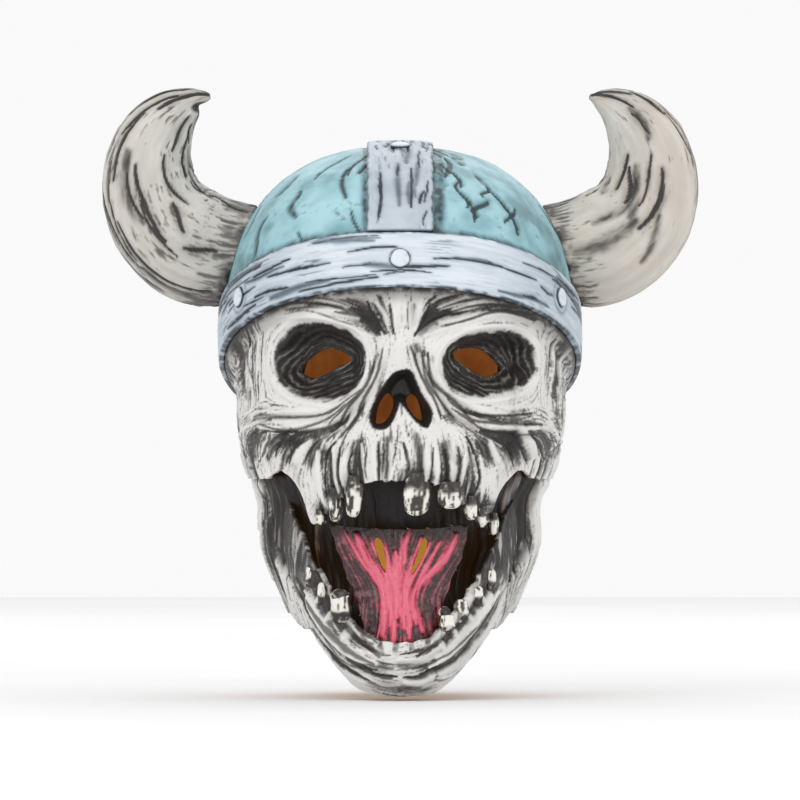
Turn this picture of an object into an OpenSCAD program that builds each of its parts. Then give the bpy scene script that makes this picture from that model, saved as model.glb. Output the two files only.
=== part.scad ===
// Full head horned skull mask, worn over the whole head.
// Frame: +Z up, the face looks toward -Y, +X is the wearer's left.
// Origin: middle of the head cavity, on the ear line at the height of the eyes.
// Lengths are in millimetres, angles in degrees; t is the angle round the head,
// 0 at the face, 90 over the wearer's left ear and 180 at the back.

/* [Head shell] */
// Half width of the head shell at eye level
head_a = 89; // [87:0.5:91]
// Distance from the ear line to the front of the head shell
head_f = 114; // [112:0.5:116]
// Distance from the ear line to the back of the head shell
head_b = 110; // [108:0.5:112]
// Squareness of the head seen from above, where 2 is an ellipse
boxy = 2.4; // [2.3:0.05:2.5]
// Thickness of the latex
wall = 2.6; // [2.2:0.1:2.8]
// Height of the rear hem
hem_z = -140; // [-144:1:-136]

/* [Helmet] */
// Half width of the helmet dome
dome_a = 95; // [94:0.5:97]
// Distance from the ear line to the front of the dome
dome_f = 121; // [120:0.5:123]
// Distance from the ear line to the back of the dome
dome_b = 118; // [117:0.5:120]
// Height of the dome above its widest level
dome_h = 102; // [100:1:104]
// Thickness of the two bands over the dome
band_t = 3; // [2.5:0.1:3.5]
// Half height of the brow band at the face
band_half = 14.3; // [13:0.1:14.5]
// How much higher the brow band runs at the face than over the ears
band_tilt = 40; // [38:1:41]
// Width of the crest band
crest_w = 35; // [32:1:38]
// Radius of a rivet head
rivet_r = 5.1; // [4.5:0.1:5.5]

/* [Horns] */
// Radius of a horn at its thickest
horn_r = 31; // [29:0.5:31.5]
// Distance from the middle plane to a horn's middle line where it swings furthest out
horn_reach = 135.5; // [134:0.5:137]
// Thickness of a horn's skin
horn_wall = 2.4; // [2:0.1:2.6]

/* [Mouth] */
// Half width of the eye openings
eye_w = 16; // [14:0.5:16.5]
// Half height of the eye openings
eye_h = 7; // [6:0.5:7.5]
// Thickness of the tongue
tongue_t = 4; // [3.5:0.5:4.5]
// Depth of a tooth from front to back
tooth_d = 7; // [6.5:0.5:7.5]

/* [Hidden] */
SIDES = ["left", "right"];
bone = "#dcdcd8";
teal = "#3f9aa6";
band_blue = "#a9bfca";
horn_cream = "#e4ddcb";
enamel = "#f2f0ea";
latex_black = "#26272b";
tongue_pink = "#d9557c";
foam = "#d8c27a";

// Head shell at each height: the change from eye level in half width, front and back
widths = [[64, -4], [32, 0], [10, 0], [-16, -0.5], [-37, -2], [-61, -6.5], [-77, -13], [-104, -14],
    [-130, -24], [-152, -33]];
fronts = [[64, -6], [32, -1], [10, 0], [-16, 2], [-37, 6], [-61, 10], [-77, 10], [-104, 4],
    [-130, 0], [-152, -4]];
backs = [[64, -4], [32, 0], [10, 0], [-16, -1], [-37, -4], [-61, -9], [-77, -13], [-104, -18],
    [-130, -21], [-152, -23]];
// Relief of the face on both sides: place across and up, reach across and up, height
relief_bumps = [
    [45, -4, 21, 17, -15],   // eye socket
    [36, 26, 26, 8, 5],      // brow ridge
    [0, -27, 12, 12, -13],   // nose cavity
    [0, 2, 8, 12, 4],        // nose bridge
    [64, -38, 18, 12, 6],    // cheekbone
    [0, -68, 38, 16, 5]];    // upper jaw
// Lower edge of the face at each angle: the gum line, the jaw corner and the cheek arch
gum_line = [[0, -67], [5, -67], [14.5, -71], [21.5, -77], [29.5, -86], [34, -90], [37, -84],
    [39.5, -72], [44, -64], [58, -66], [115, -66]];
gap = 1;               // between edges that lie next to each other
lift = 0.3;            // between a band and what it lies over
dome_z = 10.5;         // height of the dome's widest level
dome_taper = 220;      // how slowly the dome draws in below that level
band_z = 9.5;          // height of the brow band over the ears
band_grow = 1.5;       // how much taller each half of the band is over the ears
flare_h = 9;           // height over which the face flares out to meet the band
face_end = 115;        // angle where the face shell stops
skin_start = 72;       // angle where the side skin starts
skin_low = -136;       // lower edge of the side skin
flap_start = 116.5;    // angle where a nape flap starts
slit = 0.6;            // angle from the back line to a flap's free edge
horn_pivot = [87, 8, 53.5];
horn_hole_r = 31.2;    // hole in the dome round the foot of a horn
horn_lean = 19;        // angle of the foot, square to the side of the dome
horn_turn = 0.15;      // share of the horn over which its rings turn from the foot's angle
horn_tip = [102.5, -8, 139.5];
horn_rise = 3;         // how far the horn climbs on its way out from the helmet
horn_arch = 11;        // how far it still climbs on its way in to the tip
// The two inner points of the curve lie above each other, so its middle is the widest place
horn_out = (8 * horn_reach - horn_pivot[0] - horn_tip[0]) / 6;
horn_path = [horn_pivot, [horn_out, horn_pivot[1], horn_pivot[2] + horn_rise],
    [horn_out, horn_tip[1] / 4, horn_tip[2] - horn_arch], horn_tip];
horn_girth = [[0, 0.93], [0.1, 0.99], [0.2, 1], [0.3, 0.96], [0.4, 0.89], [0.5, 0.82],
    [0.6, 0.75], [0.7, 0.66], [0.8, 0.53], [0.9, 0.33], [1, 0.07]];
horn_foot = [[-7, 0.72], [-4, 0.88]];   // rings inside the dome: distance, girth
core_gap = 0.4;
cut_from = 60;         // how far in front of the ear line the cuts along Y start
cut_long = 80;         // and how long they are
eye_at = [45, -5];     // across, up
eye_tilt = -12;        // the inner corner lies higher
nostril_at = [8, -28.5];
nostril_size = [4.6, 7.8];
nostril_tilt = 10;
// Lower jaw on the left side: rim, middle and lower border, from the chin to the back
jaw_rim = [[0, -117, -153], [12, -116.5, -151], [24, -113, -141], [34, -107, -129], [43, -98, -117],
    [50, -88, -103], [56, -74, -88], [61, -54, -76], [64, -34, -72]];
jaw_mid = [[0, -121, -168], [18, -118.5, -165], [32, -111, -155], [43, -100, -143], [51, -88, -132],
    [57, -75, -120], [61, -61, -108], [63.5, -44, -100], [64.5, -28, -98]];
jaw_low = [[0, -103, -182], [16, -100, -181], [28, -94, -173], [37, -86, -162], [45, -75, -151],
    [51, -64, -142], [55, -50, -134], [57, -38, -130], [58, -24, -128]];
chin_tuck = [0, 24, 5];  // how far the border turns in under the chin
lining_end = 56;       // angle where the mouth lining stops on each side
lining_top = -60;
lining_depth = 20;
lining_back = [6, 14]; // how far its edge lies behind the head form, at the middle and the ends
slit_cuts = [[-10.5, -107.5, -13], [9, -108, 20]];   // breathing slits: across, up, lean
slit_half = [2.6, 10];
tongue_top = -93;
tongue_low = -152;
tongue_half = [[-93, 37], [-105, 34], [-125, 26], [-152, 17]];
tongue_y = [[-93, -101], [-125, -105], [-152, -111]];
// Teeth: place across, height of the gum, height of the tip, width
upper_teeth = [[-42, -84, -90.6, 5], [-34.3, -75, -89, 7.1], [-24.4, -69.4, -86.4, 9.2],
    [9, -68, -85.7, 14.2], [26.8, -71, -82, 12.8], [37.4, -78, -88, 6.6], [43, -84, -92, 5.2],
    [49, -87, -96, 5.2]];
lower_teeth = [[-47.5, -121, -112, 4.6], [-41, -130, -121, 5.4], [-31.5, -139, -127.6, 11],
    [25, -146, -137, 8.5], [32.5, -139.7, -130, 8], [40.5, -131, -123, 6.6], [47.5, -123, -114, 6]];
tooth_profile = [[-0.3, 0.62], [0, 0.86], [0.3, 1], [0.62, 0.96], [0.86, 0.74], [1, 0.4]];
tooth_sides = 12;

function mix(a, b, s) = a + (b - a) * s;
function smooth(s) = let(c = min(1, max(0, s))) c * c * (3 - 2 * c);
function signed_pow(v, p) = sign(v) * pow(abs(v), p);
function unit(v) = v / norm(v);

// Point of the rounded plan at angle t, with half width a, front f and back b
function plan(t, a, f, b) = [a * signed_pow(sin(t), 2 / boxy),
    -(cos(t) >= 0 ? f : b) * signed_pow(cos(t), 2 / boxy)];
function form_plan(t, z, grow = 0) = plan(t, head_a + lookup(z, widths) + grow,
    head_f + lookup(z, fronts) + grow, head_b + lookup(z, backs) + grow);
function dome_share(z) = z > dome_z ? pow(max(0, 1 - pow((z - dome_z) / dome_h, boxy)), 1 / boxy)
    : 1 - pow((dome_z - z) / dome_taper, 2);
function dome_plan(t, z) = plan(t, dome_a, dome_f, dome_b) * dome_share(z);
function raise(p, z) = [p[0], p[1], z];
function bump(x, z, b) = b[4] * exp(-pow((abs(x) - b[0]) / b[2], 2) - pow((z - b[1]) / b[3], 2));
function relief(x, z, i = 0) = i == len(relief_bumps) ? 0
    : bump(x, z, relief_bumps[i]) + relief(x, z, i + 1);
function band_mid(t) = band_z + band_tilt * cos(t);
function band_reach(t) = band_half + band_grow * abs(sin(t));
function band_low(t) = band_mid(t) - band_reach(t);
// Point of the head shell: the form, raised by its relief, flaring out to the dome at the band
function head_point(t, z) = let(base = form_plan(t, z), out = unit(base),
    r = cos(t) > 0 ? relief(base[0], z) : 0,
    s = smooth((z - band_low(t) + flare_h) / flare_h))
    raise(mix(base + out * r, dome_plan(t, z), s), z);
function dome_point(t, z) = raise(dome_plan(t, z), z);

// Grids: rows run upward, columns run round from the wearer's right to left
function step_at(G, i, j, closed) = let(n = len(G), m = len(G[0]))
    G[min(max(i, 0), n - 1)][closed ? (j + m) % m : min(max(j, 0), m - 1)];
function normal_at(G, i, j, closed) = unit(cross(
    step_at(G, i, j + 1, closed) - step_at(G, i, j - 1, closed),
    step_at(G, i + 1, j, closed) - step_at(G, i - 1, j, closed)));
function offset_grid(G, d, closed = false) = [for (i = [0:len(G) - 1])
    [for (j = [0:len(G[0]) - 1]) G[i][j] + d * normal_at(G, i, j, closed)]];
function flat(G) = [for (row = G) for (p = row) p];
function quad(a, b, c, d) = [[a, b, c], [a, c, d]];

// Closed skin between an outer and an inner grid of the same size
module skin(outer, inner, closed = false, cap = false) {
    n = len(outer) - 1;
    m = len(outer[0]);
    last = closed ? m - 1 : m - 2;
    k = (n + 1) * m;
    faces = concat(
        [for (i = [0:n - 1]) for (j = [0:last]) let(e = (j + 1) % m)
            each quad(i * m + j, (i + 1) * m + j, (i + 1) * m + e, i * m + e)],
        [for (i = [0:n - 1]) for (j = [0:last]) let(e = (j + 1) % m)
            each quad(k + i * m + j, k + i * m + e, k + (i + 1) * m + e, k + (i + 1) * m + j)],
        [for (j = [0:last]) let(e = (j + 1) % m) each quad(j, e, k + e, k + j)],
        cap ? [[for (j = [m - 1:-1:0]) n * m + j], [for (j = [0:m - 1]) k + n * m + j]]
            : [for (j = [0:last]) let(e = (j + 1) % m)
                each quad(n * m + e, n * m + j, k + n * m + j, k + n * m + e)],
        closed ? [] : [for (i = [0:n - 1]) each quad((i + 1) * m, i * m, k + i * m, k + (i + 1) * m)],
        closed ? [] : [for (i = [0:n - 1]) let(a = i * m + m - 1, b = a + m)
            each quad(a, b, k + b, k + a)]);
    polyhedron(points = concat(flat(outer), flat(inner)), faces = faces, convexity = 8);
}

// Solid inside a stack of rings, closed at both ends
module stack(rings) {
    n = len(rings) - 1;
    m = len(rings[0]);
    faces = concat(
        [for (i = [0:n - 1]) for (j = [0:m - 1]) let(e = (j + 1) % m)
            each quad(i * m + j, (i + 1) * m + j, (i + 1) * m + e, i * m + e)],
        [[for (j = [0:m - 1]) j], [for (j = [m - 1:-1:0]) n * m + j]]);
    polyhedron(points = flat(rings), faces = faces, convexity = 4);
}

// Skin over part of the head shell, between two edges given at each angle
module head_skin(angles, lows, highs, rows) {
    grid = [for (i = [0:rows]) [for (j = [0:len(angles) - 1])
        head_point(angles[j], mix(lows[j], highs[j], i / rows))]];
    skin(grid, offset_grid(grid, -wall));
}

module one_mesh() {
    resize([0, 0, 0]) children();
}

// Cut through the face along Y: an almond seen from the front, leaning by an angle
module face_cut(at, half, lean, side, sides = 16) {
    mirror([side, 0, 0])
        translate([at[0], -cut_from, at[1]])
            rotate([90, 0, 0])
                rotate([0, 0, lean])
                    linear_extrude(cut_long)
                        polygon([for (k = [0:sides - 1]) let(a = 360 * k / sides)
                            [half[0] * cos(a), half[1] * sin(a)]]);
}

module face_shell() {
    front = [for (t = [-49:3.5:49]) t];
    side = [55, 62, 70, 78, 86, 94, 102, 109, face_end];
    angles = concat([for (i = [len(side) - 1:-1:0]) -side[i]], front, side);
    lows = [for (t = angles) lookup(abs(t), gum_line)];
    highs = [for (t = angles) band_mid(t) - 2 * gap];
    color(bone) one_mesh() difference() {
        head_skin(angles, lows, highs, 20);
        for (side = [0, 1]) {
            face_cut(eye_at, [eye_w, eye_h], eye_tilt, side);
            face_cut(nostril_at, nostril_size, nostril_tilt, side);
        }
    }
}
module side_skin(side) {
    angles = [for (k = [0:8]) mix(skin_start, face_end, k / 8)];
    lows = [for (t = angles) skin_low];
    highs = [for (t = angles) lookup(t, gum_line) - gap];
    color(bone) mirror([side, 0, 0]) head_skin(angles, lows, highs, 10);
}
module nape_flap(side) {
    angles = [for (k = [0:12]) mix(flap_start, 180 - slit, k / 12)];
    rows = 12;
    grid = [for (i = [0:rows]) [for (t = angles)
        let(z = mix(hem_z, band_low(t) - gap, i / rows)) raise(form_plan(t, z), z)]];
    color(bone) mirror([side, 0, 0]) skin(grid, offset_grid(grid, -wall));
}
module helmet_dome() {
    columns = 56;
    rows = 11;
    top = dome_z + dome_h * sin(87);
    grid = [for (i = [0:rows]) [for (j = [0:columns - 1]) let(t = 360 * j / columns)
        dome_point(t, mix(band_mid(t), top, pow(sin(90 * i / rows), 0.8)))]];
    color(teal) one_mesh() difference() {
        skin(grid, offset_grid(grid, -wall, true), closed = true, cap = true);
        for (side = [0, 1])
            mirror([side, 0, 0]) translate(horn_pivot) sphere(r = horn_hole_r, $fn = 32);
    }
}
module brow_band() {
    columns = 60;
    rows = 4;
    grid = [for (i = [0:rows]) [for (j = [0:columns - 1]) let(t = 360 * j / columns)
        dome_point(t, band_mid(t) + band_reach(t) * (2 * i / rows - 1))]];
    color(band_blue) skin(offset_grid(grid, lift + band_t, true), offset_grid(grid, lift, true),
        closed = true);
}
// Point of the crest line: v runs from the front edge of the brow band over to the rear edge
function crest_dir(v) = v < 0.5 ? 0 : 180;
function crest_point(x, v) = let(t = crest_dir(v), edge = band_mid(t) + band_reach(t) + 2 * gap,
    low = asin(signed_pow((edge - dome_z) / dome_h, boxy / 2)),
    a = v < 0.5 ? mix(low, 90, 2 * v) : mix(90, low, 2 * v - 1),
    s = pow(1 - pow(abs(x / dome_a), boxy), 1 / boxy))
    [x, (v < 0.5 ? -dome_f : dome_b) * s * signed_pow(cos(a), 2 / boxy),
        dome_z + dome_h * s * signed_pow(sin(a), 2 / boxy)];
module crest_band() {
    rows = 28;
    columns = 3;
    grid = [for (i = [0:columns]) [for (j = [0:rows])
        crest_point(crest_w * (0.5 - i / columns), j / rows)]];
    color(band_blue) skin(offset_grid(grid, lift + band_t), offset_grid(grid, lift));
}
module rivet() {
    rotate_extrude($fn = 24)
        polygon([[0, 0], [rivet_r, 0], [rivet_r, 0.9], [rivet_r * 0.82, 1.7], [0, 2.1]]);
}
module rivet_at(p, n) {
    translate(p + n * (lift + band_t + 0.02)) rotate([0, acos(n[2]), atan2(n[1], n[0])]) rivet();
}
module band_rivets() {
    color(bone) {
        for (t = [0, 59, 121, 180, 239, 301]) let(z = band_mid(t),
            n = unit(cross(dome_point(t + 1, z) - dome_point(t - 1, z),
                dome_point(t, z + 1) - dome_point(t, z - 1))))
            rivet_at(dome_point(t, z), n);
        for (v = [0.36, 0.64]) let(n = unit(cross([1, 0, 0], crest_point(0, v + 0.01) - crest_point(0, v - 0.01))))
            rivet_at(crest_point(0, v), n[2] < 0 ? -n : n);
    }
}

// Centre line of a horn and its rings; shrink is how far inside the skin the rings lie
function bezier(P, u) = P[0] * pow(1 - u, 3) + P[1] * 3 * pow(1 - u, 2) * u
    + P[2] * 3 * (1 - u) * u * u + P[3] * pow(u, 3);
function horn_along(u) = let(s = smooth(u / horn_turn),
    path = unit(bezier(horn_path, min(1, u + 0.01)) - bezier(horn_path, max(0, u - 0.01))))
    unit(mix([cos(horn_lean), 0, sin(horn_lean)], path, s));
function ring(c, along, r, sides) = let(n = unit(cross([0, 1, 0], along)), b = cross(along, n))
    [for (k = [0:sides - 1]) let(a = 360 * k / sides) c + r * (n * cos(a) + b * sin(a))];
function horn_rings(shrink, start, rows = 18, sides = 16) = concat(
    [for (f = horn_foot) if (f[0] >= start)
        ring(horn_path[0] + f[0] * horn_along(0), horn_along(0), horn_r * f[1] - shrink, sides)],
    [for (i = [0:rows]) let(u = i / rows)
        ring(bezier(horn_path, u) - (i == rows ? 1 : 0) * shrink * horn_along(1), horn_along(u),
            max(horn_r * lookup(u, horn_girth) - shrink, 0.6), sides)]);
module horn(side) {
    color(horn_cream) mirror([side, 0, 0])
        skin(horn_rings(0, -100), horn_rings(horn_wall, -100), closed = true, cap = true);
}
module horn_core(side) {
    color(foam) mirror([side, 0, 0]) stack(horn_rings(horn_wall + core_gap, -5));
}

function jaw_grid(rows, columns) = [for (i = [rows + 2:-1:0]) [for (j = [-columns:columns])
    let(k = abs(j) / columns * (len(jaw_rim) - 1), a = min(floor(k), len(jaw_rim) - 2), s = k - a,
        rim = mix(jaw_rim[a], jaw_rim[a + 1], s), mid = mix(jaw_mid[a], jaw_mid[a + 1], s),
        low = mix(jaw_low[a], jaw_low[a + 1], s), v = min(1, i / rows),
        p = rim * (2 * v - 1) * (v - 1) + mid * 4 * v * (1 - v) + low * v * (2 * v - 1),
        q = p + chin_tuck * max(0, i - rows) / 2 * max(0.15, 1 - k / 6))
    [q[0] * (j < 0 ? -1 : 1), q[1], q[2]]]];
module jaw_shell() {
    grid = jaw_grid(9, 18);
    color(bone) skin(grid, offset_grid(grid, -wall));
}

// Cut through the mouth along Y for one breathing slit: a lozenge, leaning by an angle
module breath_cut(c) {
    translate([c[0], -cut_from, c[1]])
        rotate([90, 0, 0])
            rotate([0, 0, c[2]])
                linear_extrude(cut_long)
                    polygon([[-slit_half[0], 0], [0, -slit_half[1]], [slit_half[0], 0], [0, slit_half[1]]]);
}
function lining_low(t) = mix(-150, -126, pow(abs(t) / lining_end, 1.5));
function lining_point(t, z, v) = let(edge = 1 - pow(abs(t) / lining_end, 4),
    rim = 1 - pow(abs(2 * v - 1), 4), back = mix(lining_back[0], lining_back[1], pow(abs(t) / lining_end, 3)))
    raise(form_plan(t, z, -back - lining_depth * edge * rim), z);
module mouth_lining() {
    rows = 12;
    columns = 20;
    grid = [for (i = [0:rows]) [for (j = [0:columns]) let(t = mix(-lining_end, lining_end, j / columns))
        lining_point(t, mix(lining_low(t), lining_top, i / rows), i / rows)]];
    color(latex_black) one_mesh() difference() {
        skin(grid, offset_grid(grid, -wall / 2));
        for (c = slit_cuts) breath_cut(c);
    }
}
module tongue() {
    rows = 10;
    columns = 10;
    grid = [for (i = [0:rows]) let(z = mix(tongue_low, tongue_top, i / rows), w = lookup(z, tongue_half))
        [for (j = [0:columns]) let(s = 2 * j / columns - 1)
            [w * s, lookup(z, tongue_y) + 4 * s * s, z + 3 * s * s * (i / rows)]]];
    color(tongue_pink) one_mesh() difference() {
        skin(grid, offset_grid(grid, -tongue_t));
        for (c = slit_cuts) breath_cut(c);
    }
}

// A tooth at place x, from its root behind the gum at height gum to its tip
module tooth(x, gum, tip, w, y, turn) {
    color(enamel) translate([x, y, 0]) rotate([0, 0, turn])
        stack([for (k = [0:len(tooth_profile) - 1])
            let(q = tooth_profile[tip > gum ? k : len(tooth_profile) - 1 - k], z = mix(gum, tip, q[0]))
            [for (j = [0:tooth_sides - 1]) let(a = 360 * j / tooth_sides - 90)
                [w / 2 * q[1] * signed_pow(cos(a), 0.8), tooth_d / 2 * q[1] * signed_pow(sin(a), 0.8), z]]]);
}
function angle_of(x, z) = sign(x) * asin(pow(abs(x) / (head_a + lookup(z, widths)), boxy / 2));
module upper_tooth(i) {
    d = upper_teeth[i];
    t = angle_of(d[0], d[1]);
    p = head_point(t, d[1]);
    tooth(d[0], d[1], d[2], d[3], p[1] + tooth_d / 2 - 2, 0.75 * t);
}
function rim_y(x) = lookup(abs(x), [for (p = jaw_rim) [p[0], p[1]]]);
module lower_tooth(i) {
    d = lower_teeth[i];
    tooth(d[0], d[1], d[2], d[3], rim_y(d[0]) + tooth_d / 2 - 2, 0.8 * angle_of(d[0], d[1]));
}

face_shell();
helmet_dome();
brow_band();
crest_band();
band_rivets();
jaw_shell();
mouth_lining();
tongue();
for (side = [0, 1]) {
    side_skin(side);
    nape_flap(side);
    horn(side);
    horn_core(side);
}
for (i = [0:len(upper_teeth) - 1])
    upper_tooth(i);
for (i = [0:len(lower_teeth) - 1])
    lower_tooth(i);
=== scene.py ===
"""Horned skull mask in latex: the visual model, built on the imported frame.

Shapes are worked out in millimetres in the frame of the CAD model: +Z up, the face
toward -Y, +X the wearer's left. The head skin is unrolled round the head, so that
u is the way round in millimetres, 0 at the face, and z is the height.
"""
import math

import bpy
import numpy as np
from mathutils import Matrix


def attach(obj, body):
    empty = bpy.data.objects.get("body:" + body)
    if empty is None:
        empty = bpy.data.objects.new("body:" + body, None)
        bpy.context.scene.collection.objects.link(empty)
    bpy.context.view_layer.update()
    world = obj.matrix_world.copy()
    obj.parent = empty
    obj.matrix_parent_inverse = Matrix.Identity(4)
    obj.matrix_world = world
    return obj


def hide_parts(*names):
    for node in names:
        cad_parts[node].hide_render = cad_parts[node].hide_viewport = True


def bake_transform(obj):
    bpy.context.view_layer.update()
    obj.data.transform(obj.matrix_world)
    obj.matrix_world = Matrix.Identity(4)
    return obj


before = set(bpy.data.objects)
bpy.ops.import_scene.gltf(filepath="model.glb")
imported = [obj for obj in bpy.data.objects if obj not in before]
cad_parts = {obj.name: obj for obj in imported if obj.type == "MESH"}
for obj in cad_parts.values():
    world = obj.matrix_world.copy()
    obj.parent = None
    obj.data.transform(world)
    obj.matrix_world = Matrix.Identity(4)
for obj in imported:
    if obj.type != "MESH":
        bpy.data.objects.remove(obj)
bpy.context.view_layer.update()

MM = 0.001

# ---------------------------------------------------------------- sizes of the mask

BOXY = 2.4
HEAD = (89, 114, 110)
WIDTHS = ((64, -4), (32, 0), (10, 0), (-16, -0.5), (-37, -2), (-61, -6.5), (-77, -13), (-104, -14),
          (-130, -24), (-152, -33))
FRONTS = ((64, -6), (32, -1), (10, 0), (-16, 2), (-37, 6), (-61, 10), (-77, 10), (-104, 4),
          (-130, 0), (-152, -4))
BACKS = ((64, -4), (32, 0), (10, 0), (-16, -1), (-37, -4), (-61, -9), (-77, -13), (-104, -18),
         (-130, -21), (-152, -23))
GUM_LINE = ((0, -67), (5, -67), (14.5, -71), (21.5, -77), (29.5, -86), (34, -90), (37, -84),
            (39.5, -72), (44, -64), (58, -66), (115, -66))
DOME = (95, 121, 118)
DOME_H, DOME_Z, DOME_TAPER = 102, 10.5, 220
WALL, LIFT, BAND_T, CREST_W = 2.6, 0.3, 3, 35
BAND_RIVETS = (0, 59, 121, 180, 239, 301)    # degrees round the brow band
CREST_RIVETS = (0.36, 0.64)                  # shares of the way over the crest band
RIVET_R = 5.1
FACE_END, NAPE_START, NAPE_END = 115.6, 114.5, 179.4    # degrees round the head
RASTER = 0.45                                # cell of the drawn relief

HORN_FOOT = (87, 8, 53.5)
HORN_TIP = (102.5, -8, 139.5)
HORN_REACH = 135.5   # how far out a horn's middle line swings
HORN_OUT = (8 * HORN_REACH - HORN_FOOT[0] - HORN_TIP[0]) / 6
HORN_RISE, HORN_ARCH = 3, 11
HORN_PATH = (HORN_FOOT, (HORN_OUT, HORN_FOOT[1], HORN_FOOT[2] + HORN_RISE),
             (HORN_OUT, HORN_TIP[1] / 4, HORN_TIP[2] - HORN_ARCH), HORN_TIP)
HORN_LEAN = 19       # degrees that a horn's root rises
HORN_R = 31
HORN_GIRTH = ((0, 0.93), (0.1, 0.99), (0.2, 1), (0.3, 0.96), (0.4, 0.89), (0.5, 0.82),
              (0.6, 0.75), (0.7, 0.66), (0.8, 0.53), (0.9, 0.33), (0.96, 0.18), (1, 0.05))

JAW_RIM = ((0, -117, -153), (12, -116.5, -151), (24, -113, -141), (34, -107, -129), (43, -98, -117),
           (50, -88, -103), (56, -74, -88), (61, -54, -76), (64, -34, -72))
JAW_MID = ((0, -121, -168), (18, -118.5, -165), (32, -111, -155), (43, -100, -143), (51, -88, -132),
           (57, -75, -120), (61, -61, -108), (63.5, -44, -100), (64.5, -28, -98))
JAW_LOW = ((0, -103, -182), (16, -100, -181), (28, -94, -173), (37, -86, -162), (45, -75, -151),
           (51, -64, -142), (55, -50, -134), (57, -38, -130), (58, -24, -128))

# Teeth: place across, height of the gum, height of the tip, width
UPPER_TEETH = ((-42, -84, -90.6, 5), (-34.3, -75, -89, 7.1), (-24.4, -69.4, -86.4, 9.2),
               (9, -68, -85.7, 14.2), (26.8, -71, -82, 12.8), (37.4, -78, -88, 6.6),
               (43, -84, -92, 5.2), (49, -87, -96, 5.2))
LOWER_TEETH = ((-47.5, -121, -112, 4.6), (-41, -130, -121, 5.4), (-31.5, -139, -127.6, 11),
               (25, -146, -137, 8.5), (32.5, -139.7, -130, 8), (40.5, -131, -123, 6.6),
               (47.5, -123, -114, 6))
TOOTH_PROFILE = ((-0.3, 0.8), (0, 0.98), (0.3, 1.06), (0.62, 0.97), (0.86, 0.78), (0.96, 0.5), (1, 0.22))
TOOTH_D = 7
STUMPS = (2, 3)      # lower teeth that are broken off and hollow

# ---------------------------------------------------------------- openings and strokes, in mm (x, z)

# Eye sockets: middle, half width, half height and tilt in degrees
SOCKET_OVALS = ((-42.5, -4, 24.5, 20.5, -8), (47.5, -5, 25.5, 17.5, 8))
EYE_HOLES = (
    ((-59.3, -7.9), (-51.4, -12.8), (-38, -7.5), (-28.9, -2.4), (-41, 3), (-51, 0.4)),
    ((31, 0.6), (40, -7.5), (52.1, -12.2), (61.2, -7.5), (52, 1), (41, 3.2)))
NOSE = ((0.4, -8.5), (-4.5, -11), (-9.4, -17.6), (-13.6, -24.9), (-16.4, -33.5), (-14.3, -39),
        (-9.4, -40.2), (-5.1, -37.7), (-1.6, -31), (0, -26), (1.6, -28), (3.4, -29.8), (7, -34.5),
        (11.3, -38.3), (15, -39), (17.4, -32.3), (16.2, -28), (11.3, -20), (5.9, -9.1))
NOSTRILS = (
    ((-6.2, -20.7), (-3.8, -25), (-5, -31), (-9, -36), (-13.2, -36.6), (-12.4, -29), (-9.4, -23)),
    ((5.4, -21.3), (9, -23), (11.8, -30), (12, -35), (8.4, -33.6), (4.6, -28.6), (3.4, -24.4)))

# A stroke is G, a groove, W, a ridge wiped clean, or H, a wide hollow. Usual half widths:
HALF_WIDTHS = {"G": 0.75, "W": 1.6, "H": 1.6}

# Fans of strokes on one side: the kinds in turn, how many, the first stroke and the last
FACE_FANS = (
    ("WGHWG", 5, ((2, 30), (2, 20), (3, 8)), ((16, 29), (12, 20), (7, 9))),              # frown
    ("WGWHG", 8, ((14, 10), (32, 17), (52, 20), (74, 16)), ((17, 25), (34, 30), (52, 31), (76, 24))),
    ("WGWHG", 8, ((6, 6), (10, -10), (18, -26), (22, -42)), ((15, 2), (20, -16), (31, -29), (46, -42))),
    ("WGHWG", 8, ((20, -18), (34, -27), (52, -31), (72, -30)), ((26, -32), (42, -42), (62, -45), (82, -42))),
    ("GWHGW", 15, ((2, -44), (3, -56), (3, -66)), ((42, -50), (43, -66), (40, -84))),    # upper jaw
    ("HGH", 4, ((8, 9), (17, 16), (31, 21)), ((11, 19), (21, 26), (37, 29))),            # brow creases
    ("HG", 5, ((24, -44), (27, -52), (30, -60)), ((60, -47), (66, -52), (70, -60))),     # below the cheek
    ("WGHG", 9, ((44, -44), (52, -54), (58, -64)), ((76, -36), (85, -46), (89, -62))),   # cheekbone
    ("WGWHG", 7, ((76, 17), (77, 0), (76, -22)), ((87, 12), (89, -12), (87, -36))),      # temple
)
JAW_FANS = (
    ("WGHWG", 11, ((10, -158), (28, -147), (44, -128), (54, -104)),
     ((12, -178), (30, -170), (46, -154), (57, -134))),
    ("GWH", 6, ((0, -158), (14, -157), (27, -150)), ((0, -179), (11, -177), (20, -172))),
)
TONGUE_FAN = ("W", 10, ((-33, -93), (-23, -108), (-9, -127), (-11, -141), (-15, -156)),
              ((33, -93), (23, -108), (9, -127), (11, -141), (15, -156)))


# ---------------------------------------------------------------- numbers and curves

def smooth(s):
    s = np.clip(s, 0, 1)
    return s * s * (3 - 2 * s)


def mix(a, b, s):
    return a + (b - a) * s


def signed_pow(v, p):
    return np.sign(v) * np.abs(v) ** p


def ease(q, table):
    """Smooth curve through a table of (place, value)"""
    xs, ys = np.array(sorted(table), float).T
    slope = np.gradient(ys, xs)
    q = np.clip(np.asarray(q, float), xs[0], xs[-1])
    k = np.clip(np.searchsorted(xs, q, side="right") - 1, 0, len(xs) - 2)
    h = xs[k + 1] - xs[k]
    s = (q - xs[k]) / h
    a = (1 + 2 * s) * (1 - s) ** 2 * ys[k] + s * (1 - s) ** 2 * h * slope[k]
    return a + s * s * (3 - 2 * s) * ys[k + 1] + s * s * (s - 1) * h * slope[k + 1]


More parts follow.
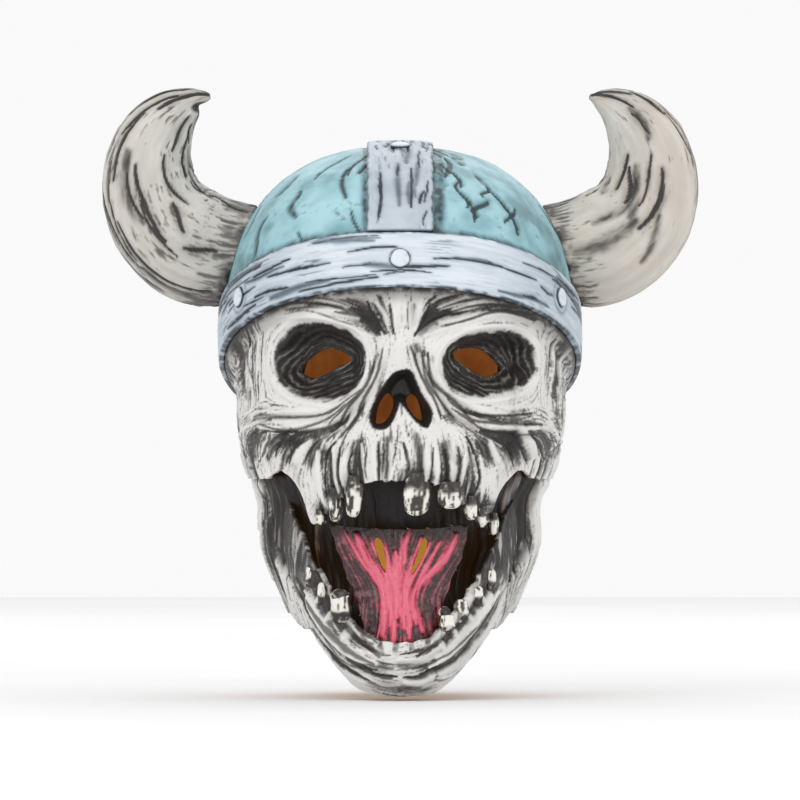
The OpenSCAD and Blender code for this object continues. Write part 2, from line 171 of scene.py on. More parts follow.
def refine(points, step, closed=False):
    """Even points on a smooth curve through the given ones"""
    p = np.array(points, float)
    if closed:
        p = np.vstack([p[-1], p, p[0], p[1]])
    else:
        p = np.vstack([2 * p[0] - p[1], p, 2 * p[-1] - p[-2]])
    out = []
    for a, b, c, d in zip(p[:-3], p[1:-2], p[2:-1], p[3:]):
        n = max(2, int(math.ceil(np.linalg.norm(c - b) / step)))
        s = (np.arange(n) / n)[:, None]
        out.append(0.5 * (2 * b + (c - a) * s + (2 * a - 5 * b + 4 * c - d) * s ** 2
                          + (3 * b - a - 3 * c + d) * s ** 3))
    if not closed:
        out.append(p[-2][None])
    return np.vstack(out)


def oval(x, z, wide, high, tilt, square=2.3):
    """Points round a tilted oval, a little squared"""
    a = np.linspace(0, 2 * math.pi, 24, endpoint=False)
    across = wide * signed_pow(np.cos(a), 2 / square)
    up = high * signed_pow(np.sin(a), 2 / square)
    c, s = math.cos(math.radians(tilt)), math.sin(math.radians(tilt))
    return np.stack([x + across * c - up * s, z + across * s + up * c], axis=1)


def hash_noise(p, size, seed=0):
    """Smooth value noise from -1 to 1 at points p, with cells of the given size"""
    q = np.asarray(p, float) / size + seed * 31.7
    cell = np.floor(q).astype(np.int64)
    f = q - cell
    f = f * f * (3 - 2 * f)
    total = np.zeros(q.shape[:-1])
    dims = q.shape[-1]
    for corner in range(2 ** dims):
        h = np.full(q.shape[:-1], 1013904223 + seed, np.int64)
        w = np.ones(q.shape[:-1])
        for k in range(dims):
            bit = corner >> k & 1
            h = (h ^ (cell[..., k] + bit)) * 1103515245 + 12345 & 0x7fffffff
            h = h ^ h >> 11
            w = w * (f[..., k] if bit else 1 - f[..., k])
        total += w * ((h & 0xffff) / 32767.5 - 1)
    return total


def cloud(p, size, seed=0, octaves=3):
    total, weight = 0, 0
    for k in range(octaves):
        total = total + hash_noise(p, size / 2 ** k, seed + 5 * k) * 0.55 ** k
        weight += 0.55 ** k
    return total / weight


def linear(c):
    """Linear light from screen values between 0 and 1"""
    return np.where(c <= 0.04045, c / 12.92, ((c + 0.055) / 1.055) ** 2.4)


def srgb(r, g, b):
    return linear(np.array([r, g, b]) / 255)


def neighbours(a, step):
    """Mean of the four cells that lie step cells away"""
    return (np.roll(a, step, 0) + np.roll(a, -step, 0) + np.roll(a, step, 1) + np.roll(a, -step, 1)) / 4


def joined(*parts):
    """Points from their coordinates, which all have one shape"""
    return np.stack(parts, axis=-1)


SOCKETS = [oval(*spec) for spec in SOCKET_OVALS]


# ---------------------------------------------------------------- the head form

def plan(t, a, f, b):
    s, c = np.sin(t), np.cos(t)
    return a * signed_pow(s, 2 / BOXY), -np.where(c >= 0, f, b) * signed_pow(c, 2 / BOXY)


def head_form(t, z, grow=0):
    return plan(t, HEAD[0] + ease(z, WIDTHS) + grow, HEAD[1] + ease(z, FRONTS) + grow,
                HEAD[2] + ease(z, BACKS) + grow)


def dome_share(z):
    h = np.clip((z - DOME_Z) / DOME_H, 0, 1)
    return np.where(z > DOME_Z, (1 - h ** BOXY) ** (1 / BOXY), 1 - ((DOME_Z - z) / DOME_TAPER) ** 2)


def dome_form(t, z):
    x, y = plan(t, *DOME)
    return x * dome_share(z), y * dome_share(z)


def band_mid(t):
    return 9.5 + 40 * np.cos(t)


def band_reach(t):
    return 14.3 + 1.5 * np.abs(np.sin(t))


def band_low(t):
    return band_mid(t) - band_reach(t)


TURNS = np.linspace(0, math.pi, 6001)
ARC = np.concatenate([[0], np.cumsum(np.hypot(*np.diff(np.array(head_form(TURNS, np.full(6001, -20.0))))))])
HALF_WAY = ARC[-1]


def turn_at(u):
    return np.sign(u) * np.interp(np.abs(u), ARC, TURNS)


def arc_at(t):
    return np.sign(t) * np.interp(np.abs(t), TURNS, ARC)


def arc_of(x, z):
    """Way round the head of a point at x across and z up on its front"""
    share = np.clip(np.abs(x) / (HEAD[0] + ease(z, WIDTHS)), 0, 1)
    return arc_at(np.sign(x) * np.arcsin(share ** (BOXY / 2)))


# ---------------------------------------------------------------- relief drawn on unrolled surfaces

class Relief:
    """Height in mm and paint, drawn stroke by stroke on a flat sheet (u, z)"""

    def __init__(self, reach, low, high, step, lay, lean=math.pi / 2):
        self.step = step
        self.lay = lay
        self.u = np.arange(-reach, reach + step, step)
        self.z = np.arange(low, high + step, step)
        self.U, self.Z = np.meshgrid(self.u, self.z)
        self.spot = joined(self.U, self.Z)
        self.height = np.zeros(self.U.shape)
        self.ink = np.zeros(self.U.shape)
        self.wash = np.zeros(self.U.shape)
        self.bare = np.zeros(self.U.shape)
        self.rag = cloud(self.spot, 3.4, 3) * 0.55 + hash_noise(self.spot, 1.1, 8) * 0.16
        self.flow = 0.3 * np.exp(2j * (lean + 0.5 * cloud(self.spot, 30, 1)))

    def window(self, line, pad):
        i0, i1 = np.searchsorted(self.z, (line[:, 1].min() - pad, line[:, 1].max() + pad))
        j0, j1 = np.searchsorted(self.u, (line[:, 0].min() - pad, line[:, 0].max() + pad))
        return slice(i0, max(i1, i0 + 1)), slice(j0, max(j1, j0 + 1))

    def draw(self, kind, width, points, raw=False):
        line = refine(points, 0.6) if raw else self.lay(refine(points, 0.6))
        n = len(line)
        along = np.linspace(0, 1, n)
        widths = width * (0.4 + 0.6 * np.sin(np.pi * np.clip(along, 0.02, 0.98)) ** 0.5)
        pad = 3 * width + 2
        win = self.window(line, pad)
        near = np.full(self.U[win].shape, 9.0)
        i0, j0 = win[0].start, win[1].start
        for (pu, pz), w in zip(line, widths):
            rows = np.searchsorted(self.z, (pz - 3 * w - 1, pz + 3 * w + 1))
            cols = np.searchsorted(self.u, (pu - 3 * w - 1, pu + 3 * w + 1))
            a = slice(*(np.clip(rows, i0, win[0].stop) - i0))
            b = slice(*(np.clip(cols, j0, win[1].stop) - j0))
            d = np.hypot(self.U[win][a, b] - pu, self.Z[win][a, b] - pz) / w
            near[a, b] = np.minimum(near[a, b], d)
        ragged = near * (1 + 0.7 * self.rag[win])
        g = np.exp(-ragged ** 2 * 1.1)
        if kind == "G":
            self.height[win] += -0.6 * width * g + 0.2 * width * np.exp(-((near - 1.9) / 0.7) ** 2)
            self.ink[win] = np.maximum(self.ink[win], smooth((g - 0.15) / 0.5))
        if kind == "W":
            self.height[win] += 0.8 * width * np.exp(-near ** 2)
            self.bare[win] = np.maximum(self.bare[win], smooth(1.5 * np.exp(-ragged ** 2)))
        if kind == "H":
            soft = np.exp(-ragged ** 2 * 0.6)
            self.height[win] += -0.5 * width * soft
            self.wash[win] = np.maximum(self.wash[win], soft)
        tangent = np.gradient(line, axis=0)
        for k in range(0, n, 5):
            c = complex(tangent[k, 0], tangent[k, 1])
            a = slice(*np.searchsorted(self.z, (line[k, 1] - 16, line[k, 1] + 16)))
            b = slice(*np.searchsorted(self.u, (line[k, 0] - 16, line[k, 0] + 16)))
            d2 = (self.U[a, b] - line[k, 0]) ** 2 + (self.Z[a, b] - line[k, 1]) ** 2
            self.flow[a, b] += np.exp(-d2 / 40) * (c * c) / (abs(c * c) + 1e-12)

    def inside(self, points, pad=12):
        """Window round an outline, and the distance in from its edge, in mm"""
        line = self.lay(refine(points, 0.8, closed=True))
        win = self.window(line, pad)
        U, Z = self.U[win], self.Z[win]
        near = np.full(U.shape, 1e9)
        for p in line[::2]:
            near = np.minimum(near, (U - p[0]) ** 2 + (Z - p[1]) ** 2)
        return win, np.sqrt(near) * np.where(within(U, Z, line), 1, -1)

    def streaks(self, length, seed):
        """Noise smeared along the flow of the strokes, from 0 to 1"""
        rng = np.random.default_rng(seed)
        noise = rng.standard_normal(self.U.shape)
        way = np.exp(0.5j * np.angle(self.flow))
        rows, cols = self.U.shape
        total = noise.copy()
        for sign in (1, -1):
            r, c = np.indices(self.U.shape).astype(float)
            d = way * sign
            for k in range(length):
                r += d.imag
                c += d.real
                ri = np.clip(r.astype(int), 0, rows - 1)
                ci = np.clip(c.astype(int), 0, cols - 1)
                total += noise[ri, ci]
                here = way[ri, ci]
                d = np.where((here * np.conj(d)).real < 0, -here, here)
        total = (total - total.mean()) / total.std()
        return np.clip(0.5 + 0.25 * total, 0, 1)

    def finish(self, darkening, seed):
        """Lay dark streaks and fine relief along the strokes, thickest near the hollows"""
        broad = self.streaks(20, seed)
        broad = (broad + np.roll(broad, 1, 0) + np.roll(broad, 1, 1) + np.roll(broad, -1, 1)) / 4
        broad = np.clip(0.5 + (broad - broad.mean()) / broad.std() * 0.24, 0, 1)
        fine = self.streaks(9, seed + 1)
        near = 0.8 * self.ink + self.wash
        for k in range(26):
            near = neighbours(near, 2)
        darkening = np.clip(darkening + 1.0 * near + 0.28 * cloud(self.spot, 22, seed), 0, 1)
        darkening = darkening * (1 - 0.8 * self.bare)
        strand = smooth((broad + 0.95 * darkening - 0.98) / 0.24)
        hair = smooth((fine + 0.8 * darkening - 0.98) / 0.2)
        self.height += (0.9 * (broad - 0.5) * (0.4 + darkening) + 0.25 * (fine - 0.5)
                        + 0.25 * cloud(self.spot, 9, 2))
        self.height -= 0.35 * strand
        clean = 1 - 0.75 * self.bare
        tone = np.maximum(0.62 * strand * clean, 0.5 * hair * clean)
        tone = np.maximum(tone, self.wash * clean * (0.2 + 0.55 * broad + 0.12 * fine))
        tone = tone + 0.18 * strand * hair * clean + 0.12 * darkening
        self.tone = np.clip(np.maximum(tone, self.ink * (1 - 0.4 * self.bare)), 0, 1)
        self.broad = broad

    def sample(self, field, u, z):
        """Field at points (u, z), read between the cells"""
        c = np.clip((u - self.u[0]) / self.step, 0, len(self.u) - 1.001)
        r = np.clip((z - self.z[0]) / self.step, 0, len(self.z) - 1.001)
        ci, ri = c.astype(int), r.astype(int)
        fc, fr = c - ci, r - ri
        top = field[ri + 1, ci] * (1 - fc) + field[ri + 1, ci + 1] * fc
        low = field[ri, ci] * (1 - fc) + field[ri, ci + 1] * fc
        return low * (1 - fr) + top * fr


def draw_fan(r, rng, fan, side=1, astray=2.1):
    """Strokes that pass step by step from the first to the last, each a little astray"""
    kinds, count, first, last = fan
    for k, share in enumerate(np.linspace(0, 1, count)):
        kind = kinds[k % len(kinds)]
        points = mix(np.array(first, float), np.array(last, float), share)
        line = refine(points + rng.uniform(-astray, astray, points.shape), 2)
        start = int(len(line) * rng.uniform(0, 0.2))
        stop = int(len(line) * rng.uniform(0.75, 1))
        line[:, 0] *= side
        r.draw(kind, HALF_WIDTHS[kind] * rng.uniform(0.5, 1.55), line[start:max(stop, start + 3)])


def within(U, Z, line):
    """True where a point lies inside a closed line"""
    hit = np.zeros(U.shape, bool)
    for (x1, y1), (x2, y2) in zip(line, np.roll(line, -1, axis=0)):
        if y1 != y2:
            cross = (Z > min(y1, y2)) & (Z <= max(y1, y2))
            hit ^= cross & (U < x1 + (Z - y1) * (x2 - x1) / (y2 - y1))
    return hit


def lay_on_head(line):
    return np.stack([arc_of(line[:, 0], line[:, 1]), line[:, 1]], axis=1)


def draw_skin():
    r = Relief(HALF_WAY + 1, -152, 50, RASTER, lay_on_head)
    rng = np.random.default_rng(11)
    for side in (-1, 1):
        for fan in FACE_FANS:
            draw_fan(r, rng, fan, side)
    for outline in SOCKETS:
        # a bony rim round each socket
        middle = outline.mean(axis=0)
        r.draw("W", 1.4, refine(middle + 1.12 * (outline - middle), 2, closed=True))
    for x, gum, tip, width in UPPER_TEETH:
        around = ((x - 0.45 * width, gum + 0.5), (x, gum + 2.5), (x + 0.45 * width, gum + 0.5))
        r.draw("H", 0.3 * width + 0.8, around)
    # sides and back: hanging strands, laid straight on the unrolled skin
    rng = np.random.default_rng(21)
    for side in (-1, 1):
        for u in np.arange(92, HALF_WAY - 4, 4.4):
            u = u + rng.uniform(-1.6, 1.6)
            top, low = rng.uniform(-58, 0), rng.uniform(-140, -76)
            if u < 142:
                top = min(top, -56)
            z = np.linspace(top, low, 6)
            wave = np.cumsum(rng.uniform(-1.8, 1.8, 6))
            kind = rng.choice(("G", "H", "W", "W"))
            width = {"G": rng.uniform(0.6, 1.4), "H": rng.uniform(1.4, 2.8), "W": rng.uniform(1.2, 2.4)}[kind]
            r.draw(kind, width, [(side * (u + w), q) for w, q in zip(wave, z)], raw=True)
        for k in range(34):
            u, z = rng.uniform(118, HALF_WAY - 12), rng.uniform(-64, 4)
            lean = rng.uniform(-0.5, 0.9)
            n = rng.uniform(7, 20)
            bow = rng.uniform(-2, 2)
            pts = [(side * (u - n / 2), z - lean * n / 2), (side * u, z + bow),
                   (side * (u + n / 2), z + lean * n / 2)]
            kind = rng.choice(("G", "G", "W"))
            r.draw(kind, rng.uniform(0.6, 1.3) * (1 if kind == "G" else 1.5), pts, raw=True)
        for k in range(10):
            u, z = rng.uniform(110, HALF_WAY - 14), rng.uniform(-120, -30)
            pts = [(side * u, z), (side * (u + rng.uniform(-4, 4)), z - rng.uniform(10, 24))]
            r.draw("H", rng.uniform(2, 4), pts, raw=True)
    rings = []
    for outline, hole in zip(SOCKETS, EYE_HOLES):
        win, d = r.inside(outline, 10)
        back = Relief.inside(r, hole, 44)
        e = np.full(r.U.shape, -40.0)
        e[back[0]] = back[1]
        e = -e[win]
        edge = d + 1.6 * cloud(r.spot[win], 6, 12) + 0.8 * r.rag[win]
        out = np.exp(1j * (np.angle(np.gradient(d, axis=1) + 1j * np.gradient(d, axis=0)) + np.pi / 2))
        r.flow[win] += 4 * np.exp(-(d / 6) ** 2) * out ** 2
        r.height[win] += -13 * smooth((d + 1) / 11) + 1.3 * np.exp(-((d + 2.6) / 2.2) ** 2)
        rings.append((win, d, e, edge))
    win_n, d_n = r.inside(NOSE, 8)
    r.height[win_n] += -10 * smooth((d_n + 0.5) / 6)
    # darker towards the sides of the head
    side_darkening = 0.13 + 0.27 * smooth((np.abs(r.U) - 80) / 14)
    r.finish(side_darkening, 5)
    for win, d, e, edge in rings:
        spot = r.spot[win]
        wrinkle = np.sin(2 * np.pi * (e + 2.2 * cloud(spot, 10, 14) + 0.7 * cloud(spot, 3, 15)) / 3.1)
        inner = smooth(edge / 1.6)
        lit = smooth(wrinkle * 1.1 - 0.2) * smooth(0.6 + 1.1 * cloud(spot, 6, 16))
        lit = lit * (1 - 0.75 * smooth((e - 17) / 6)) * (1 - 0.7 * smooth((r.Z[win] - 2) / 4))
        tone = 0.93 - 0.52 * lit + 0.06 * r.rag[win] - 0.1 * smooth((r.broad[win] - 0.6) / 0.2)
        r.height[win] += 0.7 * wrinkle * smooth(d / 3) * (1 - smooth((e - 20) / 5))
        r.tone[win] = mix(r.tone[win], np.clip(tone, 0, 1), inner)
    r.tone[win_n] = np.maximum(r.tone[win_n], 0.97 * smooth((d_n + 0.5 + 0.8 * r.rag[win_n]) / 1.2))
    # shadow under the brow band
    edge = r.Z - band_low(turn_at(r.U))
    r.tone = np.maximum(r.tone, 0.85 * np.exp(-((edge + 0.2) / 1.9) ** 2) * smooth(0.75 + r.rag))
    r.tone = np.clip(r.tone + 0.28 * np.exp(-((edge + 3) / 4) ** 2), 0, 1)
    return r


SKIN = draw_skin()


# Middle across and up, half width, half height and depth of each bump
FACE_BUMPS = ((36, 26, 26, 8, 5), (0, 2, 8, 12, 4), (64, -38, 18, 12, 6), (0, -68, 38, 16, 5))


def relief_bumps(x, z):
    """Broad relief of the face: brow ridges, nose bridge, cheekbones and upper jaw"""
    total = 0
    for cx, cz, rx, rz, h in FACE_BUMPS:
        total = total + h * np.exp(-((np.abs(x) - cx) / rx) ** 2 - ((z - cz) / rz) ** 2)
    return total


def skin_point(u, z, push=0):
    """Point of the head skin, flaring out to the dome under the brow band"""
    t = turn_at(u)
    x, y = head_form(t, z)
    long = np.hypot(x, y)
    front = smooth(np.cos(t) * 4 + 0.5)
    out = SKIN.sample(SKIN.height, u, z) + front * relief_bumps(x, z) + push
    s = smooth((z - band_low(t) + 9) / 9)
    dx, dy = dome_form(t, z)
    fine = SKIN.sample(SKIN.height, u, z) * (1 - smooth((z - band_low(t) + 3) / 3))
    k = 1 + out / long
    kd = 1 + (np.minimum(fine, 0.6) * 0.4 + push) / long
    return joined(mix(x * k, dx * kd, s), mix(y * k, dy * kd, s), z)


# ---------------------------------------------------------------- colours

def tones(*steps):
    """Paint from bare (0) to darkest (1): colours at even steps of tone"""
    table = np.array(steps, float)

    def look_up(tone):
        place = np.linspace(0, 1, len(table))
        return linear(np.stack([np.interp(tone, place, table[:, k]) for k in range(3)], axis=-1) / 255)
    return look_up


BONE_TONES = tones((226, 225, 222), (190, 187, 183), (140, 137, 133),
                   (88, 85, 82), (50, 46, 44), (27, 23, 22))


def blend_colours(base, *layers):
    """Base colour with layers of (colour, strength) laid over it"""
    out = np.broadcast_to(base, layers[0][1].shape + (3,)).astype(float)
    for colour, strength in layers:
        s = np.clip(strength, 0, 1)[..., None]
        out = out * (1 - s) + colour * s
    return out


def toned(rgb, tone):
    return np.concatenate([rgb, np.clip(tone, 0, 1)[..., None]], axis=-1)


def skin_paint(u, z, p):
    tone = SKIN.sample(SKIN.tone, u, z)
    return toned(BONE_TONES(tone), tone)


# ---------------------------------------------------------------- meshes

def normals_of(P, wrap=False):
    if wrap:
        side = np.roll(P, -1, axis=1) - np.roll(P, 1, axis=1)
    else:
        side = np.gradient(P, axis=1)
    up = np.gradient(P, axis=0)
    n = np.cross(side, up)
    return n / np.maximum(np.linalg.norm(n, axis=-1, keepdims=True), 1e-9)


def make_object(name, verts, faces, colours, slots, indices=None):
    used = np.zeros(len(verts), bool)
    flat = np.concatenate([np.ravel(f) for f in faces])
    used[flat] = True
    index = np.cumsum(used) - 1
    verts = verts[used] * MM
    colours = colours[used]
    mesh = bpy.data.meshes.new(name)
    polys = []
    for f in faces:
        polys.extend(index[np.asarray(f)].tolist())
    mesh.from_pydata(verts.tolist(), [], polys)
    paint = mesh.color_attributes.new("paint", "FLOAT_COLOR", "POINT")
    if colours.shape[1] == 3:
        colours = np.concatenate([colours, np.zeros((len(colours), 1))], axis=1)
    paint.data.foreach_set("color", colours.astype(np.float32).ravel())
    for material in slots:
        mesh.materials.append(material)
    if indices is not None:
        mesh.polygons.foreach_set("material_index", np.concatenate(indices).astype(np.int32))
    mesh.polygons.foreach_set("use_smooth", np.ones(len(mesh.polygons), bool))
    mesh.update()
    obj = bpy.data.objects.new(name, mesh)
    bpy.context.scene.collection.objects.link(obj)
    return obj


def shell(name, place, U, V, paint, slots, thick=WALL, holes=(), wrap=False, cap=False):
    """Skin with an outer side at full detail and an inner side at half of it.

    place and paint give the points and colours at U, V. Each hole is a closed line in U, V.
    """
    n, m = U.shape
    rows, cols = (n - 1) // 2, (m if wrap else m - 1) // 2
    U, V = U.astype(float).copy(), V.astype(float).copy()
    keep = np.ones((rows, cols), bool)
    shift = np.zeros((n, m, 2))
    for line in holes:
        cu = (U[1::2, 1::2])[:rows, :cols]
        cv = (V[1::2, 1::2])[:rows, :cols]
        gone = within(cu, cv, line)
        keep &= ~gone
        fine_gone = np.repeat(np.repeat(gone, 2, 0), 2, 1)
        touch_gone = np.zeros((n, m), bool)
        touch_keep = np.zeros((n, m), bool)
        h, w = fine_gone.shape
        for di in (0, 1):
            for dj in (0, 1):
                touch_gone[di:di + h, dj:dj + w][:n - di, :m - dj] |= fine_gone[:n - di, :m - dj]
                touch_keep[di:di + h, dj:dj + w][:n - di, :m - dj] |= ~fine_gone[:n - di, :m - dj]
        edge = touch_gone & touch_keep
        ei, ej = np.nonzero(edge)
        pts = np.stack([U[ei, ej], V[ei, ej]], axis=1)
        best = ((pts[:, None] - line[None]) ** 2).sum(-1).argmin(1)
        pull = line[best] - pts
        local = np.zeros((n, m, 2))
        local[ei, ej] = pull
        for k in range(8):
            local = np.where(edge[..., None], local, neighbours(local, 1))
        shift += local
    U += shift[..., 0]
    V += shift[..., 1]
    P = place(U, V)
    N = normals_of(P, wrap)
    even = N.copy()
    for k in range(10):
        even[1:-1, 1:-1] = (even[:-2, 1:-1] + even[2:, 1:-1] + even[1:-1, :-2] + even[1:-1, 2:]) / 4
    even /= np.maximum(np.linalg.norm(even, axis=-1, keepdims=True), 1e-9)
    Q = (P - thick * even)[::2, ::2]
    qn, qm = Q.shape[:2]
    base = n * m
    O = np.arange(n * m).reshape(n, m)
    I = base + np.arange(qn * qm).reshape(qn, qm)
    if wrap:
        O = np.concatenate([O, O[:, :1]], axis=1)
        I = np.concatenate([I, I[:, :1]], axis=1)
    fine = np.repeat(np.repeat(keep, 2, 0), 2, 1)
    outer = joined(O[:-1, :-1], O[:-1, 1:], O[1:, 1:], O[1:, :-1])
    outer = outer[:2 * rows, :2 * cols][fine]
    inner = joined(I[:-1, :-1], I[1:, :-1], I[1:, 1:], I[:-1, 1:])[:rows, :cols][keep]
    pad = np.zeros((rows + 2, cols + 2), bool)
    pad[1:-1, 1:-1] = keep
    if wrap:
        pad[:, 0] = pad[:, -2]
        pad[:, -1] = pad[:, 1]
    rims = []
    i, j = np.nonzero(pad[1:-1, 1:-1] & ~pad[:-2, 1:-1])
    rims.append(joined(O[2 * i, 2 * j + 2], O[2 * i, 2 * j + 1], O[2 * i, 2 * j],
                          I[i, j], I[i, j + 1]))
    i, j = np.nonzero(pad[1:-1, 1:-1] & ~pad[2:, 1:-1])
    if not cap:
        rims.append(joined(O[2 * i + 2, 2 * j], O[2 * i + 2, 2 * j + 1], O[2 * i + 2, 2 * j + 2],
                              I[i + 1, j + 1], I[i + 1, j]))
    i, j = np.nonzero(pad[1:-1, 1:-1] & ~pad[1:-1, :-2])
    rims.append(joined(O[2 * i, 2 * j], O[2 * i + 1, 2 * j], O[2 * i + 2, 2 * j],
                          I[i + 1, j], I[i, j]))
    i, j = np.nonzero(pad[1:-1, 1:-1] & ~pad[1:-1, 2:])
    rims.append(joined(O[2 * i + 2, 2 * j + 2], O[2 * i + 1, 2 * j + 2], O[2 * i, 2 * j + 2],
                          I[i, j + 1], I[i + 1, j + 1]))
    rim = np.concatenate(rims)
    faces = [outer, inner, rim]
    marks = [np.zeros(len(outer)), np.ones(len(inner)), np.zeros(len(rim))]
    if cap:
        faces.append(O[-1, :m][None])
        faces.append(I[-1, :qm][None, ::-1])
        marks += [np.zeros(1), np.ones(1)]
    C = paint(U, V, P)
    verts = np.concatenate([P.reshape(-1, 3), Q.reshape(-1, 3)])
    colours = np.concatenate([C.reshape(-1, C.shape[-1]), C[::2, ::2].reshape(-1, C.shape[-1])])
    return make_object(name, verts, faces, colours, slots, marks)


def tube(name, P, colours, slots, wrap_rows=False):
    """Closed solid from rings: rows along, columns round"""
    n, m = P.shape[:2]
    O = np.arange(n * m).reshape(n, m)
    O = np.concatenate([O, O[:, :1]], axis=1)
    if wrap_rows:
        O = np.concatenate([O, O[:1]], axis=0)
    quads = joined(O[:-1, :-1], O[:-1, 1:], O[1:, 1:], O[1:, :-1]).reshape(-1, 4)
    faces = [quads]
    if not wrap_rows:
        faces.append(O[0, :m][None, ::-1])
        faces.append(O[-1, :m][None])
    return make_object(name, P.reshape(-1, 3), faces, colours.reshape(-1, colours.shape[-1]), slots)


def on_grid(P, rows, cols):
    """Line across a grid of points, through fractional rows and columns; columns go round"""
    rows = np.clip(rows, 0, len(P) - 1.001)
    i, j = rows.astype(int), np.floor(cols).astype(int)
    fi, fj = (rows - i)[:, None], (cols - j)[:, None]
    m = P.shape[1]
    low = P[i, j % m] * (1 - fj) + P[i, (j + 1) % m] * fj
    top = P[i + 1, j % m] * (1 - fj) + P[i + 1, (j + 1) % m] * fj
    return low * (1 - fi) + top * fi


def scatter(P, rng, count, start, run, sway, widths, kinds="GGGH"):
    """Seeded strokes on a grid: start, run and sway are in rows and columns"""
    strokes = []
    s = np.linspace(0, 1, 97)
    for k in range(count):
        row, col = rng.uniform(*start[0]), rng.uniform(*start[1])
        down, over = rng.uniform(*run[0]), rng.uniform(*run[1])
        wave = np.sin(s * rng.uniform(2, 6) + rng.uniform(0, 6))
        kind = kinds[rng.integers(len(kinds))]
        width = rng.uniform(*widths) * (1.8 if kind == "H" else 1)
        line = on_grid(P, row + down * s + sway[0] * wave, col + over * s + sway[1] * wave)
        strokes.append((kind, width, line))
    return strokes


def carve(P, strokes, lift=0.14):
    """Depth in mm, ink and wash at each vertex, from strokes along lines on the surface"""
    shape = P.shape[:-1]
    V = P.reshape(-1, 3)
    rough = (cloud(V, 3.2, 4) * 0.8 + hash_noise(V, 1.3, 9) * 0.12) * 0.7
    depth, ink, wash = np.zeros(len(V)), np.zeros(len(V)), np.zeros(len(V))
    for kind, width, line in strokes:
        along = np.linspace(0, 1, len(line))
        widths = width * (0.45 + 0.55 * np.sin(np.pi * np.clip(along, 0.02, 0.98)) ** 0.5)
        pad = 3.2 * width + 1
        near = ((V > line.min(0) - pad) & (V < line.max(0) + pad)).all(1)
        if not near.any():
            continue
        W = V[near]
        d = np.full(len(W), 9.0)
        for p, w in zip(line, widths):
            d = np.minimum(d, np.sqrt(((W - p) ** 2).sum(1)) / w)
        e = d * (1 + 0.6 * rough[near])
        g = np.exp(-e ** 2 * 1.1)
        if kind == "G":
            depth[near] += -0.5 * width * g + lift * width * np.exp(-((d - 1.8) / 0.7) ** 2)
            ink[near] = np.maximum(ink[near], smooth((g - 0.2) / 0.45))
            wash[near] = np.maximum(wash[near], 0.55 * np.exp(-(e / 2.1) ** 2))
        else:
            depth[near] -= 0.35 * width * np.exp(-e ** 2 * 0.6)
            wash[near] = np.maximum(wash[near], np.exp(-e ** 2 * 0.6))
    return depth.reshape(shape), ink.reshape(shape), wash.reshape(shape)


# ---------------------------------------------------------------- materials

def add_node(mat, kind, **values):
    """New shader node, with values for the inputs of those names"""
    node = mat.node_tree.nodes.new("ShaderNode" + kind)
    for key, value in values.items():
        node.inputs[key.replace("_", " ")].default_value = value
    return node


def add_bump(mat, bsdf, source, strength, distance):
    """Fine relief from a noise texture"""
    links = mat.node_tree.links
    relief = add_node(mat, "Bump", Strength=strength, Distance=distance)
    links.new(source.outputs["Fac"], relief.inputs["Height"])
    links.new(relief.outputs["Normal"], bsdf.inputs["Normal"])


def new_material(name):
    """Material with its principled shader and the object's own coordinates"""
    mat = bpy.data.materials.new(name)
    mat.use_nodes = True
    return mat, mat.node_tree.links, mat.node_tree.nodes["Principled BSDF"], add_node(mat, "TexCoord")


def painted(name, rough=(0.42, 0.62), grain=900, bump=0.12, tint=0.1, spec=0.42, blotch=60, coat=0.0):
    """Hand painted latex: its colour comes from the paint layer, broken up by fine grain"""
    mat, links, bsdf, coord = new_material(name)
    layer = add_node(mat, "VertexColor")
    layer.layer_name = "paint"
    fine = add_node(mat, "TexNoise", Scale=grain, Detail=3)
    broad = add_node(mat, "TexNoise", Scale=blotch, Detail=4)
    for tex in (fine, broad):
        links.new(coord.outputs["Object"], tex.inputs["Vector"])
    shade = add_node(mat, "MapRange", To_Min=1 - tint, To_Max=1 + tint * 0.4)
    links.new(broad.outputs["Fac"], shade.inputs["Value"])
    times = add_node(mat, "VectorMath")
    times.operation = "SCALE"
    links.new(layer.outputs["Color"], times.inputs[0])
    links.new(shade.outputs["Result"], times.inputs["Scale"])
    links.new(times.outputs["Vector"], bsdf.inputs["Base Color"])
    dull = add_node(mat, "MapRange", From_Min=0.3, From_Max=0.7, To_Min=rough[0], To_Max=rough[1])
    links.new(fine.outputs["Fac"], dull.inputs["Value"])
    links.new(dull.outputs["Result"], bsdf.inputs["Roughness"])
    add_bump(mat, bsdf, fine, bump, 0.0004)
    bsdf.inputs["Specular IOR Level"].default_value = spec
    bsdf.inputs["Coat Weight"].default_value = coat
    return mat


